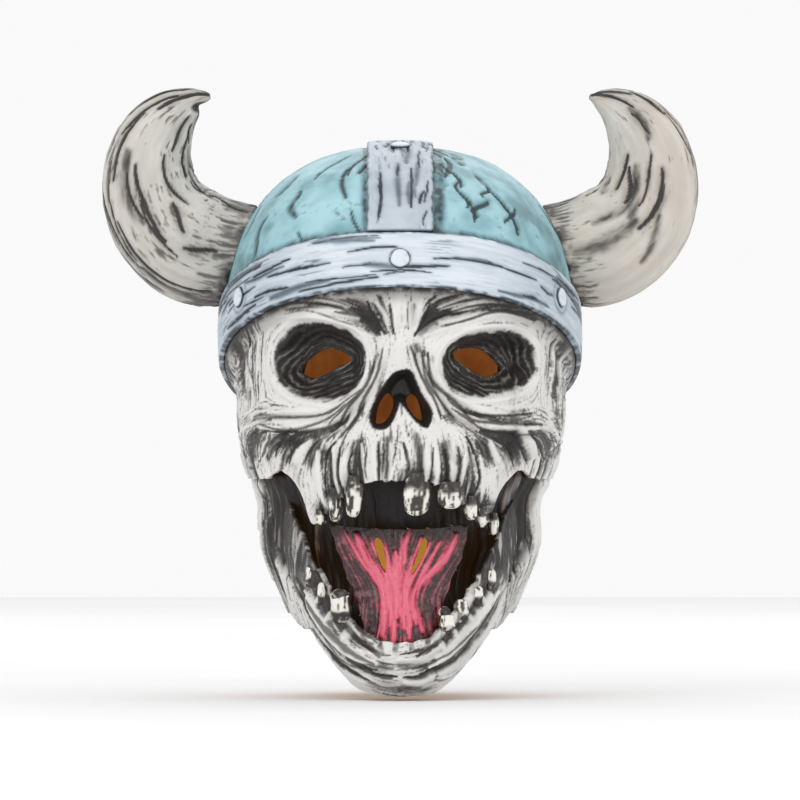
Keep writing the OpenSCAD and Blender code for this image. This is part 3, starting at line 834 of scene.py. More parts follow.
def plain(name, dark, light, rough, scale, bump, glow=0.0, spec=0.4, neck=None):
    """Unpainted material mottled between two colours; if asked, paler towards the neck as painted light from
    the neck opening, and glowing as painted light through the latex
    """
    mat, links, bsdf, coord = new_material(name)
    noise = add_node(mat, "TexNoise", Scale=scale, Detail=5)
    links.new(coord.outputs["Object"], noise.inputs["Vector"])
    ramp = add_node(mat, "ValToRGB")
    for stop, place, colour in zip(ramp.color_ramp.elements, (0.3, 0.7), (dark, light)):
        stop.position = place
        stop.color = (*colour, 1)
    links.new(noise.outputs["Fac"], ramp.inputs["Fac"])
    # painted light: paler towards the neck opening, and glowing in that colour
    if neck:
        apart = add_node(mat, "SeparateXYZ")
        reach = add_node(mat, "MapRange", From_Min=-0.055, From_Max=-0.095)
        blend = add_node(mat, "Mix")
        blend.data_type = "RGBA"
        blend.inputs[7].default_value = (*neck, 1)
        links.new(coord.outputs["Object"], apart.inputs["Vector"])
        links.new(apart.outputs["Z"], reach.inputs["Value"])
        links.new(reach.outputs["Result"], blend.inputs[0])
        links.new(ramp.outputs["Color"], blend.inputs[6])
        links.new(blend.outputs[2], bsdf.inputs["Base Color"])
        links.new(blend.outputs[2], bsdf.inputs["Emission Color"])
    else:
        links.new(ramp.outputs["Color"], bsdf.inputs["Base Color"])
    add_bump(mat, bsdf, noise, bump, 0.0006)
    bsdf.inputs["Roughness"].default_value = rough
    bsdf.inputs["Specular IOR Level"].default_value = spec
    # painted glow, standing in for light that comes through the latex
    if glow:
        bsdf.inputs["Emission Strength"].default_value = glow
    return mat


BONE = painted("bone_latex")
TEAL = painted("helmet_latex", rough=(0.36, 0.55), tint=0.14, blotch=40)
STRAP = painted("band_latex", rough=(0.38, 0.56), tint=0.08)
RIVET = painted("rivet_latex", rough=(0.32, 0.5), tint=0.06)
HORN = painted("horn_latex", rough=(0.4, 0.6), tint=0.12, blotch=50)
ENAMEL = painted("tooth_resin", rough=(0.2, 0.34), tint=0.08, bump=0.06, coat=0.3)
FLESH = painted("tongue_latex", rough=(0.22, 0.42), tint=0.16, bump=0.2, coat=0.25)
DARK = painted("lining_latex", rough=(0.4, 0.62), tint=0.2, bump=0.2)
# inside of the latex: amber of its own, with a painted glow of light through it, paler towards the neck as
# painted light
AMBER = plain("raw_latex_inside_painted_glow", (0.15, 0.05, 0.012), (0.3, 0.11, 0.025), 0.5, 70, 0.4, glow=0.45,
              neck=(0.5, 0.27, 0.05))
FOAM = plain("core_foam", (0.42, 0.3, 0.12), (0.62, 0.5, 0.26), 0.95, 500, 1.0, spec=0.15)


# ---------------------------------------------------------------- head skin pieces

def grid(us, fractions, low, high):
    U = np.broadcast_to(us, (len(fractions), len(us)))
    V = low[None] + (high - low)[None] * fractions[:, None]
    return U, V


def build_face():
    end = arc_at(math.radians(FACE_END))
    side = np.linspace(104, end, 43)
    us = np.concatenate([-side[:0:-1], np.linspace(-104, 104, 333), side[1:]])
    t = turn_at(us)
    low = ease(np.degrees(np.abs(t)), GUM_LINE) + 0.8 * hash_noise(np.stack([us, us * 0], axis=1), 3.1, 2)
    high = band_low(t) + 6
    U, V = grid(us, np.linspace(0, 1, 171), low, high)
    holes = [lay_on_head(refine(line, 0.5, closed=True)) for line in EYE_HOLES + NOSTRILS]
    obj = shell("face_skin", skin_point, U, V, skin_paint, (BONE, AMBER), holes=holes)
    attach(obj, "head")
    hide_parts("face_shell")


FRONT_EDGE = ((-147, 43), (-130, 50), (-110, 60), (-90, 65), (-70, 67), (-63, 68))


def build_side(side, name):
    """Cheek skin: its front edge slants forward and down, out over the corner of the jaw"""
    rows, cols = 101, 121
    f = np.linspace(0, 1, rows)[:, None]
    g = np.linspace(0, 1, cols)[None]
    z = mix(-143.0, -63.0, f) + 0 * g
    front = ease(z[:, 0], FRONT_EDGE)
    front = front + 1.3 * hash_noise(z[:, :1], 7, 4)
    deg = mix(front[:, None], 116.0, g)
    hem = np.interp(deg, (44, 60, 75, 116), (-147, -144, -139, -136))
    hem = hem + 1.4 * hash_noise(joined(deg, deg * 0), 4, 5)
    z = mix(hem, -63.0, f)
    U = arc_at(np.radians(deg))
    if side < 0:
        U, z = -U[:, ::-1], z[:, ::-1]

    def place(u, v):
        t = np.degrees(np.abs(turn_at(u)))
        lift = 5 * smooth((-v - 112) / 26) * smooth((70 - t) / 14)
        return skin_point(u, v, -0.8 - 1.6 * smooth((v + 70) / 5) + lift - 11 * sunk(u, v))

    def sunk(u, v):
        past = np.degrees(np.abs(turn_at(u))) - ease(v, FRONT_EDGE)
        return (1 - smooth(past / 8)) * smooth((v + 122) / 12)

    def paint(u, v, p):
        tone = SKIN.sample(SKIN.tone, u, v)
        strand = cloud(joined(u, v * 0.14), 2.2, 65)
        dark = np.clip(0.84 - 0.6 * smooth((strand - 0.02) / 0.4), 0, 1)
        tone = mix(tone, dark, smooth(1.5 * sunk(u, v)))
        return toned(BONE_TONES(tone), tone)

    obj = shell("cheek_skin_" + name, place, U, z, paint, (BONE, AMBER))
    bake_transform(obj)
    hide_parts("side_skin_" + name)


def build_nape(side, name):
    a, b = arc_at(math.radians(NAPE_START)), arc_at(math.radians(NAPE_END))
    us = np.linspace(a, b, 121) * side
    if side < 0:
        us = us[::-1]
    t = turn_at(us)
    low = -140 + 1.2 * hash_noise(np.stack([us, us * 0], axis=1), 7, 6)
    high = band_low(t) + 5
    U, V = grid(us, np.linspace(0, 1, 101), low, high)
    tuck = lambda u, v: skin_point(u, v, -1.2 * smooth((arc_at(math.radians(117.5)) - np.abs(u)) / 4))
    obj = shell("nape_skin_" + name, tuck, U, V, skin_paint, (BONE, AMBER))
    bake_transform(obj)
    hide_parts("nape_flap_" + name)


# ---------------------------------------------------------------- helmet

TEAL_TONES = tones((166, 206, 214), (140, 184, 194), (112, 150, 158),
                   (84, 112, 116), (52, 72, 76), (28, 40, 43))
BAND_TONES = tones((214, 221, 228), (186, 197, 207), (146, 159, 170),
                   (100, 112, 122), (62, 72, 80), (34, 40, 45))
CREST_TONES = tones((188, 197, 206), (168, 178, 188), (136, 147, 158),
                    (98, 108, 118), (62, 70, 78), (34, 40, 45))
MOULD = srgb(112, 126, 120)


def plan_steps(cols):
    """Turns that step evenly round the helmet"""
    fine = np.linspace(0, 2 * math.pi, 8001)
    x, y = plan(fine, *DOME)
    run = np.concatenate([[0], np.cumsum(np.hypot(np.diff(x), np.diff(y)))])
    return np.interp(np.linspace(0, run[-1], cols, endpoint=False), run, fine)


def build_dome():
    rng = np.random.default_rng(31)
    cols, rows = 520, 125
    t = plan_steps(cols)
    low = (band_low(t) + 7 - DOME_Z) / DOME_H
    a0 = np.arcsin(signed_pow(low, BOXY / 2))
    a = a0[None] + (math.radians(89.2) - a0[None]) * np.linspace(0, 1, rows)[:, None]
    z = DOME_Z + DOME_H * signed_pow(np.sin(a), 2 / BOXY)
    U = np.broadcast_to(t, z.shape)
    x, y = dome_form(U, z)
    P = joined(x, y, z)
    N = normals_of(P, wrap=True)
    cracks = scatter(P, rng, 92, ((4, 96), (0, cols)), ((8, 30), (-9, 9)), (0, 2.6), (0.9, 1.9))
    depth, ink, wash = carve(P, cracks)
    depth = depth + 0.6 * cloud(P, 14, 1) + 0.2 * cloud(P, 4, 2)
    for side in (-1, 1):
        # painted shade: a dark ring where a horn grows out of the helmet
        foot = np.linalg.norm(P - np.array(HORN_FOOT) * (side, 1, 1), axis=-1)
        wash = np.maximum(wash, np.exp(-((foot - 31) / 4.5) ** 2))
    # painted shade along the top edge of the brow band, and painted shadow beside the crest band, wider on
    # its +x side at the front
    edge = z - (band_mid(U) + band_reach(U))
    wash = np.maximum(wash, 0.95 * np.exp(-((edge - 0.5) / 3) ** 2))
    crest_side_shadow = np.exp(-((np.abs(P[..., 0]) - CREST_W / 2 - 1.2) / 1.9) ** 2) * smooth((edge + 4) / 4)
    right = np.exp(-((P[..., 0] - CREST_W / 2 - 3.5) / 3.2) ** 2) * (P[..., 1] < 0)
    wash = np.maximum(wash, np.maximum(crest_side_shadow, right))
    drag = cloud(P * np.array([1, 1, 0.35]), 3.2, 14)
    speck = smooth((cloud(P, 2.4, 17) - 0.22) / 0.2) * smooth(0.1 + 1.5 * cloud(P, 12, 18))
    tone = np.maximum(0.85 * ink, wash * (0.45 + 0.4 * smooth(0.5 + 1.3 * drag)))
    tone = np.maximum(tone, 0.34 * smooth(0.35 + 1.1 * cloud(P, 16, 13)))
    tone = np.maximum(tone, 0.42 * smooth((drag - 0.25) / 0.3) * smooth(0.3 + cloud(P, 11, 19)))
    tone = np.maximum(tone, 0.5 * speck)
    # painted shade, darker towards the sides
    tone = tone + 0.16 * smooth((np.abs(P[..., 0]) - 45) / 40)
    depth = depth - 0.5 * tone
    shape = P + N * np.maximum(depth, -1.8)[..., None]

    def paint(u, v, p):
        mould = smooth(1.4 * cloud(P, 10, 21) - 0.2) * (0.25 + 0.7 * np.exp(-(np.maximum(edge, 0) / 14) ** 2))
        rgb = TEAL_TONES(np.clip(tone, 0, 1))
        rgb = blend_colours(rgb, (MOULD * (1.15 - tone[..., None]), 0.45 * mould * (tone < 0.8)))
        return toned(rgb, tone)

    obj = shell("helmet_shell", lambda u, v: shape, U, z, paint, (TEAL, AMBER), wrap=True, cap=True)
    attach(obj, "head")
    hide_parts("helmet_dome")


def band_section(inner, outer, half, count):
    """Offsets out and across of a band's section, going round it"""
    ring = []
    for s in np.linspace(-1, 1, count):
        crown = (1 - abs(s) ** 14) ** 0.25
        ring.append((inner + (outer - inner) * (0.25 + 0.75 * crown), s * half))
    ring.append((inner, half * 0.995))
    ring.append((inner, -half * 0.995))
    return np.array(ring)


def build_brow_band():
    cols = 640
    t = plan_steps(cols)
    section = band_section(LIFT, LIFT + BAND_T, 1, 51)
    v = section[:, 1][:, None]
    wob = 1 + 0.02 * cloud(np.stack([t * 14, t * 0], axis=1), 1, 3)[None]
    T = np.broadcast_to(t, (len(v), cols))
    Z = band_mid(T) + band_reach(T) * v * wob
    x, y = dome_form(T, Z)
    base = joined(x, y, Z)
    e = 0.002
    ax, ay = dome_form(T + e, Z)
    bx, by = dome_form(T, Z + e)
    N = np.cross(joined(ax - x, ay - y, 0 * Z), joined(bx - x, by - y, e + 0 * Z))
    N /= np.linalg.norm(N, axis=-1, keepdims=True)
    P = base + N * section[:, 0][:, None, None]
    rng = np.random.default_rng(41)
    cracks = scatter(P, rng, 112, ((4, 46), (0, cols)), ((-3, 3), (8, 40)), (0.8, 0), (0.45, 1.0), "GGGGH")
    depth, ink, wash = carve(P, cracks, lift=0.1)
    rim = smooth((np.abs(v) - 0.86) / 0.12) * smooth(0.6 + cloud(P, 4, 7))
    for q in BAND_RIVETS:
        a = math.radians(q)
        zc = float(band_mid(a))
        cx, cy = dome_form(np.array(a), np.array(zc))
        d = np.linalg.norm(P - np.array([cx, cy, zc]), axis=-1)
        ink = np.maximum(ink, 0.95 * np.exp(-((d - 6.1) / 0.6) ** 2) * smooth(0.8 + cloud(P, 3, 17)))
        if q in (59, 301):
            wash = np.maximum(wash, 0.45 * np.exp(-((d - 9) / 0.8) ** 2))
    # long grain running round the band
    lines = joined(T * 8, v * 15 + 0 * T)
    grain = cloud(lines, 1.5, 44)
    fibre = smooth((cloud(joined(T * 14, v * 32 + 0 * T), 1.6, 47) - 0.16) / 0.2)
    patch = smooth(0.35 + 1.2 * cloud(joined(T * 95, v * 15 + 0 * T), 20, 46))
    tone = np.maximum(0.82 * ink, 0.55 * wash)
    tone = np.maximum(tone, 0.75 * rim)
    tone = np.maximum(tone, 0.4 * fibre * patch) + 0.12 * smooth(0.5 + grain)
    side_shade = smooth((np.abs(P[..., 0]) - 40) / 45)
    tone = tone + 0.16 * side_shade
    depth = depth + 0.2 * cloud(P, 9, 44) - 0.3 * fibre * patch + 0.2 * grain
    P = P + N * (np.maximum(depth, -1.6) * (section[:, 0] > 0.6)[:, None])[..., None]
    C = toned(BAND_TONES(np.clip(tone, 0, 1)), tone)
    obj = tube("brow_strap", P[::-1], C[::-1], (STRAP,), wrap_rows=True)
    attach(obj, "head")
    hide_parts("brow_band")


def crest_frame(x, v):
    """Point and outward normal on the dome at x across and v over the top, 0 front to 1 back"""
    t = 0 if v < 0.5 else math.pi
    edge = float(band_mid(t) + band_reach(t)) + 1
    low = math.asin(float(signed_pow((edge - DOME_Z) / DOME_H, BOXY / 2)))
    a = mix(low, math.pi / 2, 2 * v) if v < 0.5 else mix(math.pi / 2, low, 2 * v - 1)
    s = (1 - np.abs(x / DOME[0]) ** BOXY) ** (1 / BOXY)
    reach = -DOME[1] if v < 0.5 else DOME[2]
    y = reach * s * signed_pow(math.cos(a), 2 / BOXY)
    z = DOME_Z + DOME_H * s * signed_pow(math.sin(a), 2 / BOXY)
    n = joined(signed_pow(x / DOME[0], BOXY - 1) / DOME[0],
                  signed_pow(y / abs(reach), BOXY - 1) / abs(reach),
                  signed_pow((z - DOME_Z) / DOME_H, BOXY - 1) / DOME_H)
    return joined(x, y, z), n / np.linalg.norm(n, axis=-1, keepdims=True)


def build_crest():
    # even steps along the middle line
    vs = np.linspace(0, 1, 1501)
    mid = np.array([crest_frame(np.zeros(1), v)[0][0] for v in vs])
    run = np.concatenate([[0], np.cumsum(np.linalg.norm(np.diff(mid, axis=0), axis=1))])
    steps = np.interp(np.linspace(0, run[-1], 421), run, vs)
    section = band_section(LIFT, LIFT + BAND_T, CREST_W / 2, 57)[::-1]
    P, N = [], []
    for k, v in enumerate(steps):
        wob = 1 + 0.014 * math.sin(k * 0.21) + 0.01 * math.sin(k * 0.63)
        p, n = crest_frame(section[:, 1] * wob, v)
        P.append(p + n * section[:, :1])
        N.append(n)
    P, N = np.array(P), np.array(N)
    rng = np.random.default_rng(51)
    cracks = scatter(P, rng, 96, ((0, 400), (5, 51)), ((8, 46), (-2, 2)), (0, 0.9), (0.45, 1.1), "GGGGH")
    depth, ink, wash = carve(P, cracks, lift=0.1)
    across = section[:, 1][None] + 0 * P[..., 0]
    along = np.arange(len(steps))[:, None] + 0 * across
    fibre = smooth((cloud(joined(across, along * 0.09), 1.3, 57) - 0.14) / 0.2)
    patch = smooth(0.3 + 1.2 * cloud(P, 14, 58))
    rim = smooth((np.abs(across) / (CREST_W / 2) - 0.9) / 0.08) * smooth(0.55 + cloud(P, 4, 7))
    tone = np.maximum(np.maximum(0.82 * ink, 0.5 * wash), 0.75 * rim)
    tone = np.maximum(tone, 0.42 * fibre * patch) + 0.14 * smooth(0.5 + cloud(P, 9, 59))
    depth = depth + 0.25 * cloud(P, 8, 45) - 0.3 * fibre * patch
    P = P + N * (np.maximum(depth, -1.6) * (section[:, 0] > 0.6)[None])[..., None]
    obj = tube("crest_strap", P, toned(CREST_TONES(np.clip(tone, 0, 1)), tone), (STRAP,))
    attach(obj, "head")
    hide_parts("crest_band")


def build_rivets():
    profile = ((0.05, 1.7), (0.35, 1.68), (0.65, 1.58), (0.84, 1.4), (0.95, 1.0), (1.0, 0.5), (1.0, -0.4))
    places = []
    for q in BAND_RIVETS:
        a = math.radians(q)
        z = float(band_mid(a))
        x, y = dome_form(np.array(a), np.array(z))
        ahead, behind = (np.array(dome_form(np.array(a + s), np.array(z))) for s in (0.01, -0.01))
        above, below = (np.array(dome_form(np.array(a), np.array(z + s))) for s in (0.5, -0.5))
        n = np.cross([*(ahead - behind), 0], [*(above - below), 1])
        places.append((np.array([x, y, z]), n / np.linalg.norm(n)))
    for v in CREST_RIVETS:
        p, n = crest_frame(np.zeros(1), v)
        places.append((p[0], n[0]))
    for k, (p, n) in enumerate(places):
        a = np.cross(n, [0, 0, 1] if abs(n[2]) < 0.9 else [0, 1, 0])
        a /= np.linalg.norm(a)
        b = np.cross(n, a)
        w = np.linspace(0, 2 * math.pi, 40, endpoint=False)
        rings = []
        for r, h in profile[::-1]:
            wob = 1 + 0.03 * np.sin(3 * w + k) + 0.02 * np.sin(5 * w + 2 * k)
            rings.append(p + n * (LIFT + BAND_T + h) + RIVET_R * r * wob[:, None]
                         * (np.cos(w)[:, None] * a + np.sin(w)[:, None] * b))
        P = np.array(rings)
        share = np.array([q[0] for q in profile[::-1]])[:, None] * np.ones(40)
        tone = 0.75 * smooth((share - 0.93) / 0.07) + 0.16 * smooth(1.5 * cloud(P, 2.5, 70 + k))
        obj = tube("rivet_%d" % (k + 1), P, toned(BAND_TONES(np.clip(tone, 0, 1)), tone), (RIVET,))
        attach(obj, "head")
        if k == 0:
            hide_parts("band_rivets")


# ---------------------------------------------------------------- horns

HORN_GREY = tones((206, 203, 197), (178, 174, 168), (136, 132, 127),
                  (92, 89, 85), (54, 51, 48), (28, 26, 24))
HORN_WARM = tones((212, 204, 192), (186, 177, 165), (142, 135, 126),
                  (96, 91, 84), (56, 52, 48), (28, 26, 24))


def horn_line(u):
    p = [np.array(q, float) for q in HORN_PATH]
    u = np.asarray(u, float)[..., None]
    return (p[0] * (1 - u) ** 3 + p[1] * 3 * (1 - u) ** 2 * u + p[2] * 3 * (1 - u) * u * u + p[3] * u ** 3)


def horn_rings(us, sides, shrink=0.0):
    lean = math.radians(HORN_LEAN)
    foot = np.array([math.cos(lean), 0, math.sin(lean)])
    rings = []
    for u in us:
        c = horn_line(max(u, 0)) + (min(u, 0) * 60) * foot
        along = horn_line(min(1, max(u, 0) + 0.01)) - horn_line(max(0, u - 0.01))
        along /= np.linalg.norm(along)
        along = mix(foot, along, smooth(max(u, 0) / 0.15))
        along /= np.linalg.norm(along)
        n = np.cross([0, 1, 0], along)
        n /= np.linalg.norm(n)
        b = np.cross(along, n)
        r = max(HORN_R * float(ease(u, HORN_GIRTH)) - shrink, 0.6)
        if u < 0:
            r *= 1 - 2.6 * abs(u)
        w = np.linspace(0, 2 * math.pi, sides, endpoint=False)
        rings.append(c + r * (np.cos(w)[:, None] * n + np.sin(w)[:, None] * b))
    return np.array(rings)


def build_horn(side, name, count):
    us = np.concatenate([np.linspace(-0.12, 0, 11)[:-1], np.linspace(0, 1, 181)])
    sides = 240
    P = horn_rings(us, sides)
    P[..., 0] *= side
    w = np.linspace(0, 2 * math.pi, sides, endpoint=False)[None]
    if side < 0:
        P, w = P[:, ::-1], w[:, ::-1]
    N = normals_of(P, wrap=True)
    rng = np.random.default_rng(60 + side)
    cracks = scatter(P, rng, count, ((6, 168), (0, sides)), ((16, 64), (-9, 9)), (0, 1.6), (0.7, 1.8), "GGGH")
    depth, ink, wash = carve(P, cracks)
    u = us[:, None]
    # growth lines that wander a little on their way to the tip
    turn = w + 0.1 * cloud(joined(np.cos(w) + 0 * u, np.sin(w) + 0 * u, u * 5 + 0 * w), 0.8, 79)
    reach = 30 * (1 - 0.55 * u)
    lines = joined(np.cos(turn) * reach, np.sin(turn) * reach, u * 22 + 0 * w)
    growth = cloud(lines, 4.5, 80 + side)
    strand = cloud(lines, 2.1, 90 + side)
    fine = cloud(lines * np.array([1, 1, 0.5]), 1.1, 95)
    base = smooth((0.16 - u) / 0.16)
    side_on_shade = smooth((np.abs(N[..., 1]) < 0.35) * 1.0)
    # dirt, more on the left horn, with painted shade near the root and where the horn turns side-on
    darkening = (0.31 if side < 0 else 0.14) + 0.42 * base + 0.3 * cloud(P, 20, 84) + 0.15 * side_on_shade
    hair = smooth((0.5 + 0.95 * strand + 0.9 * darkening - 1.0) / 0.3)
    thin = smooth((0.5 + 0.9 * fine + 0.8 * darkening - 0.98) / 0.25)
    depth = depth + (0.9 * growth + 0.4 * cloud(P, 10, 81) - 0.55 * hair) * smooth((1 - u) / 0.12)
    tone = np.maximum(0.78 * ink, wash * (0.3 + 0.4 * smooth(0.5 + 1.2 * strand)))
    tone = np.maximum(tone, 0.5 * hair)
    tone = np.maximum(tone, 0.36 * thin) + 0.1 * smooth(0.5 - growth)
    # painted shade at the root, where the horn meets the helmet
    tone = np.maximum(tone, 0.9 * smooth((0.06 - u) / 0.06) * smooth(0.55 + 1.2 * cloud(P, 6, 83)))
    # painted shade where the horn turns side-on
    tone = tone + 0.14 * smooth(1 - np.abs(N[..., 1]) * 2.4)
    if side < 0:
        # the broken tip: a gap bitten out of the inner edge, painted dark as shade inside it
        gap = P - np.array([-106.5, -9, 133])
        bite = np.exp(-(gap[..., 0] / 4.5) ** 2 - (gap[..., 2] / 2.6) ** 2)
        depth = depth - 3.2 * bite
        tone = np.maximum(tone, 0.95 * smooth(bite * 1.8))
    tone = np.clip(tone, 0, 1)
    P = P + N * np.maximum(depth, -3.4)[..., None]
    warm = (0.8 if side > 0 else 0.25) * smooth(0.6 + cloud(P, 22, 85))[..., None]
    rgb = mix(HORN_GREY(tone), HORN_WARM(tone), warm)
    obj = tube("horn_skin_" + name, P, toned(rgb, tone), (HORN,))
    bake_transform(obj)
    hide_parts("horn_" + name)
    Q = horn_rings(np.linspace(-0.08, 0.86, 60), 48, shrink=3.6)
    Q[..., 0] *= side
    if side < 0:
        Q = Q[:, ::-1]
    M = normals_of(Q, wrap=True)
    Q = Q + M * (0.25 * cloud(Q, 3, 95))[..., None]
    core = tube("foam_core_" + name, Q, np.full(Q.shape[:2] + (3,), 0.5), (FOAM,))
    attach(core, "horn_" + name)
    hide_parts("horn_core_" + name)


# ---------------------------------------------------------------- jaw, mouth and teeth

def along_jaw(table, q):
    k = np.linspace(0, 1, len(table))
    pts = np.array(table, float)
    q = np.abs(q)
    x = ease(q, list(zip(k, pts[:, 0])))
    y = ease(q, list(zip(k, pts[:, 1])))
    z = ease(q, list(zip(k, pts[:, 2])))
    return joined(x, y, z)


JAW_Q = np.linspace(0, 1, 801)
JAW_LINE = along_jaw(JAW_MID, JAW_Q)
JAW_RUN = np.concatenate([[0], np.cumsum(np.hypot(*np.diff(JAW_LINE[:, :2], axis=0).T))])


def lay_on_jaw(line):
    run = np.interp(np.abs(line[:, 0]), np.maximum.accumulate(JAW_LINE[:, 0] + 1e-6 * JAW_Q), JAW_RUN)
    return np.stack([np.sign(line[:, 0]) * run, line[:, 1]], axis=1)


def jaw_point(q, v):
    rim, mid, low = along_jaw(JAW_RIM, q), along_jaw(JAW_MID, q), along_jaw(JAW_LOW, q)
    w = np.clip(v, 0, 1)[..., None]
    p = rim * (2 * w - 1) * (w - 1) + mid * 4 * w * (1 - w) + low * w * (2 * w - 1)
    tuck = np.maximum(0.15, 1 - np.abs(q) * 8 / 6) * np.maximum(v - 1, 0) * 4.5
    p = p + tuck[..., None] * np.array([0, 24, 5])
    p[..., 0] *= np.sign(q)
    return p


def build_jaw():
    r = Relief(JAW_RUN[-1] + 1, -190, -66, RASTER, lay_on_jaw)
    rng = np.random.default_rng(12)
    for side in (-1, 1):
        for fan in JAW_FANS:
            draw_fan(r, rng, fan, side)
    for x, gum, tip, width in LOWER_TEETH:
        around = ((x - 0.55 * width, gum - 1), (x, gum - 3.5), (x + 0.55 * width, gum - 1))
        r.draw("H", 0.25 * width + 0.9, around)
        r.draw("W", 0.14 * width + 0.3, ((x, gum - 5), (x * 0.98, gum - 12)))
    r.finish(0.2 + 0.2 * smooth((np.abs(r.U) - 52) / 20) - 0.2 * smooth((-r.Z - 166) / 6), 205)
    r.tone *= 0.86
    Q, V = np.meshgrid(np.linspace(-1, 1, 361), np.linspace(1.22, 0, 105))
    P = jaw_point(Q, V)
    N = normals_of(P)
    u = np.sign(Q) * np.interp(np.abs(Q), JAW_Q, JAW_RUN)
    near_rim = np.exp(-(V / 0.2) ** 2)
    depth = r.sample(r.height, u, P[..., 2]) + 0.5 * cloud(P, 7, 101)
    columns = np.sin(P[..., 0] * 2 * np.pi / 8.5 + 1.5 * cloud(P, 12, 100))
    depth = depth + 0.6 * columns * near_rim
    tone = r.sample(r.tone, u, P[..., 2])
    rough = smooth(0.7 + r.sample(r.rag, u, P[..., 2]))
    tone = np.maximum(tone, 0.65 * near_rim * smooth((-columns - 0.1) / 0.6) * rough)
    # the back of the jaw goes dark and stringy, up into the hollow of the cheek
    strand = cloud(P * np.array([1, 1, 0.12]), 2.4, 107)
    deep = smooth((P[..., 2] + 126 + 6 * cloud(P, 8, 108)) / 16) * smooth((np.abs(P[..., 0]) - 42) / 6)
    deep = deep * (1 - 0.8 * np.exp(-(V / 0.1) ** 2) * smooth((-P[..., 2] - 108) / 8))
    tone = mix(tone, np.clip(0.88 - 0.62 * smooth((strand - 0.1) / 0.35), 0, 1), deep * 0.95)
    # painted shade on the underside, turned in under the chin
    tone = np.maximum(tone, 0.7 * smooth((V - 0.99) / 0.1))
    shape = P + N * np.maximum(depth, -2.4)[..., None]
    colours = toned(BONE_TONES(tone), tone)
    obj = shell("jaw_skin", lambda a, b: shape, Q, V, lambda a, b, p: colours, (BONE, AMBER))
    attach(obj, "jaw")
    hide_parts("jaw_shell")


def lining_low(t):
    return mix(-150, -126, np.minimum(np.abs(t) / 56, 1) ** 1.5)


SLITS = (((-13.4, -99), (-11, -98.2), (-8.4, -102), (-7.2, -108), (-7.6, -115.8), (-10, -114), (-12.8, -106)),
         ((12.2, -98.4), (14.4, -99.4), (14, -104), (11.4, -110.6), (7.8, -116.2), (6, -116), (7.4, -107)))
LINING_TONES = tones((150, 146, 142), (104, 99, 96), (66, 60, 58),
                     (38, 30, 28), (22, 15, 14), (12, 7, 7))


def build_lining():
    T, F = np.meshgrid(np.linspace(-80, 80, 341), np.linspace(0, 1, 121))
    Z = lining_low(T) + (-56 - lining_low(T)) * F

    def strands(u, z):
        warp = u + 1.6 * cloud(joined(u * 0.2, z * 0.08), 1, 119)
        return cloud(joined(warp * 0.8, z * 0.07), 3.4, 121)

    def place(u, z):
        v = np.clip((z - lining_low(u)) / (-60 - lining_low(u)), 0, 1)
        edge = np.maximum(0, 1 - (np.abs(u) / 56) ** 4)
        rim = 1 - np.abs(2 * v - 1) ** 4
        back = mix(6, 14, np.minimum(np.abs(u) / 56, 1) ** 3) - 10 * smooth((np.abs(u) - 58) / 14)
        back = back + 2.5 * smooth((z + 66) / 6)
        x, y = head_form(np.radians(u), z, -back - 20 * edge * rim)
        P = joined(x, y, z)
        k = 1 + 2.4 * strands(u, z) / np.hypot(x, y)
        P[..., :2] *= k[..., None]
        return P

    def paint(u, z, p):
        strand = strands(u, z)
        fine = cloud(joined(u * 2.4, z * 0.2), 3, 122)
        cheek = smooth((np.abs(u) - 34) / 14)
        light = smooth((0.8 * strand + 0.45 * fine - 0.02) / 0.5)
        tone = mix(0.86 + 0.14 * smooth(-fine), 0.85 - 0.8 * light, cheek)
        return toned(LINING_TONES(np.clip(tone, 0, 1)), tone)

    holes = []
    for line in SLITS:
        pts = refine(line, 0.4, closed=True)
        a = HEAD[0] + ease(pts[:, 1], WIDTHS) - 26
        ang = np.degrees(np.sign(pts[:, 0]) * np.arcsin(np.clip(np.abs(pts[:, 0]) / a, 0, 1) ** (BOXY / 2)))
        grown = np.array([ang.mean(), pts[:, 1].mean()])
        holes.append(grown + 1.6 * (np.stack([ang, pts[:, 1]], axis=1) - grown))
    obj = shell("mouth_lining_skin", place, T, Z, paint, (DARK, AMBER), thick=1.3, holes=holes)
    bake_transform(obj)
    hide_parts("mouth_lining")


TONGUE_HALF = ((-93, 37), (-105, 34), (-125, 26), (-152, 17))
TONGUE_Y = ((-93, -101), (-125, -105), (-152, -111))


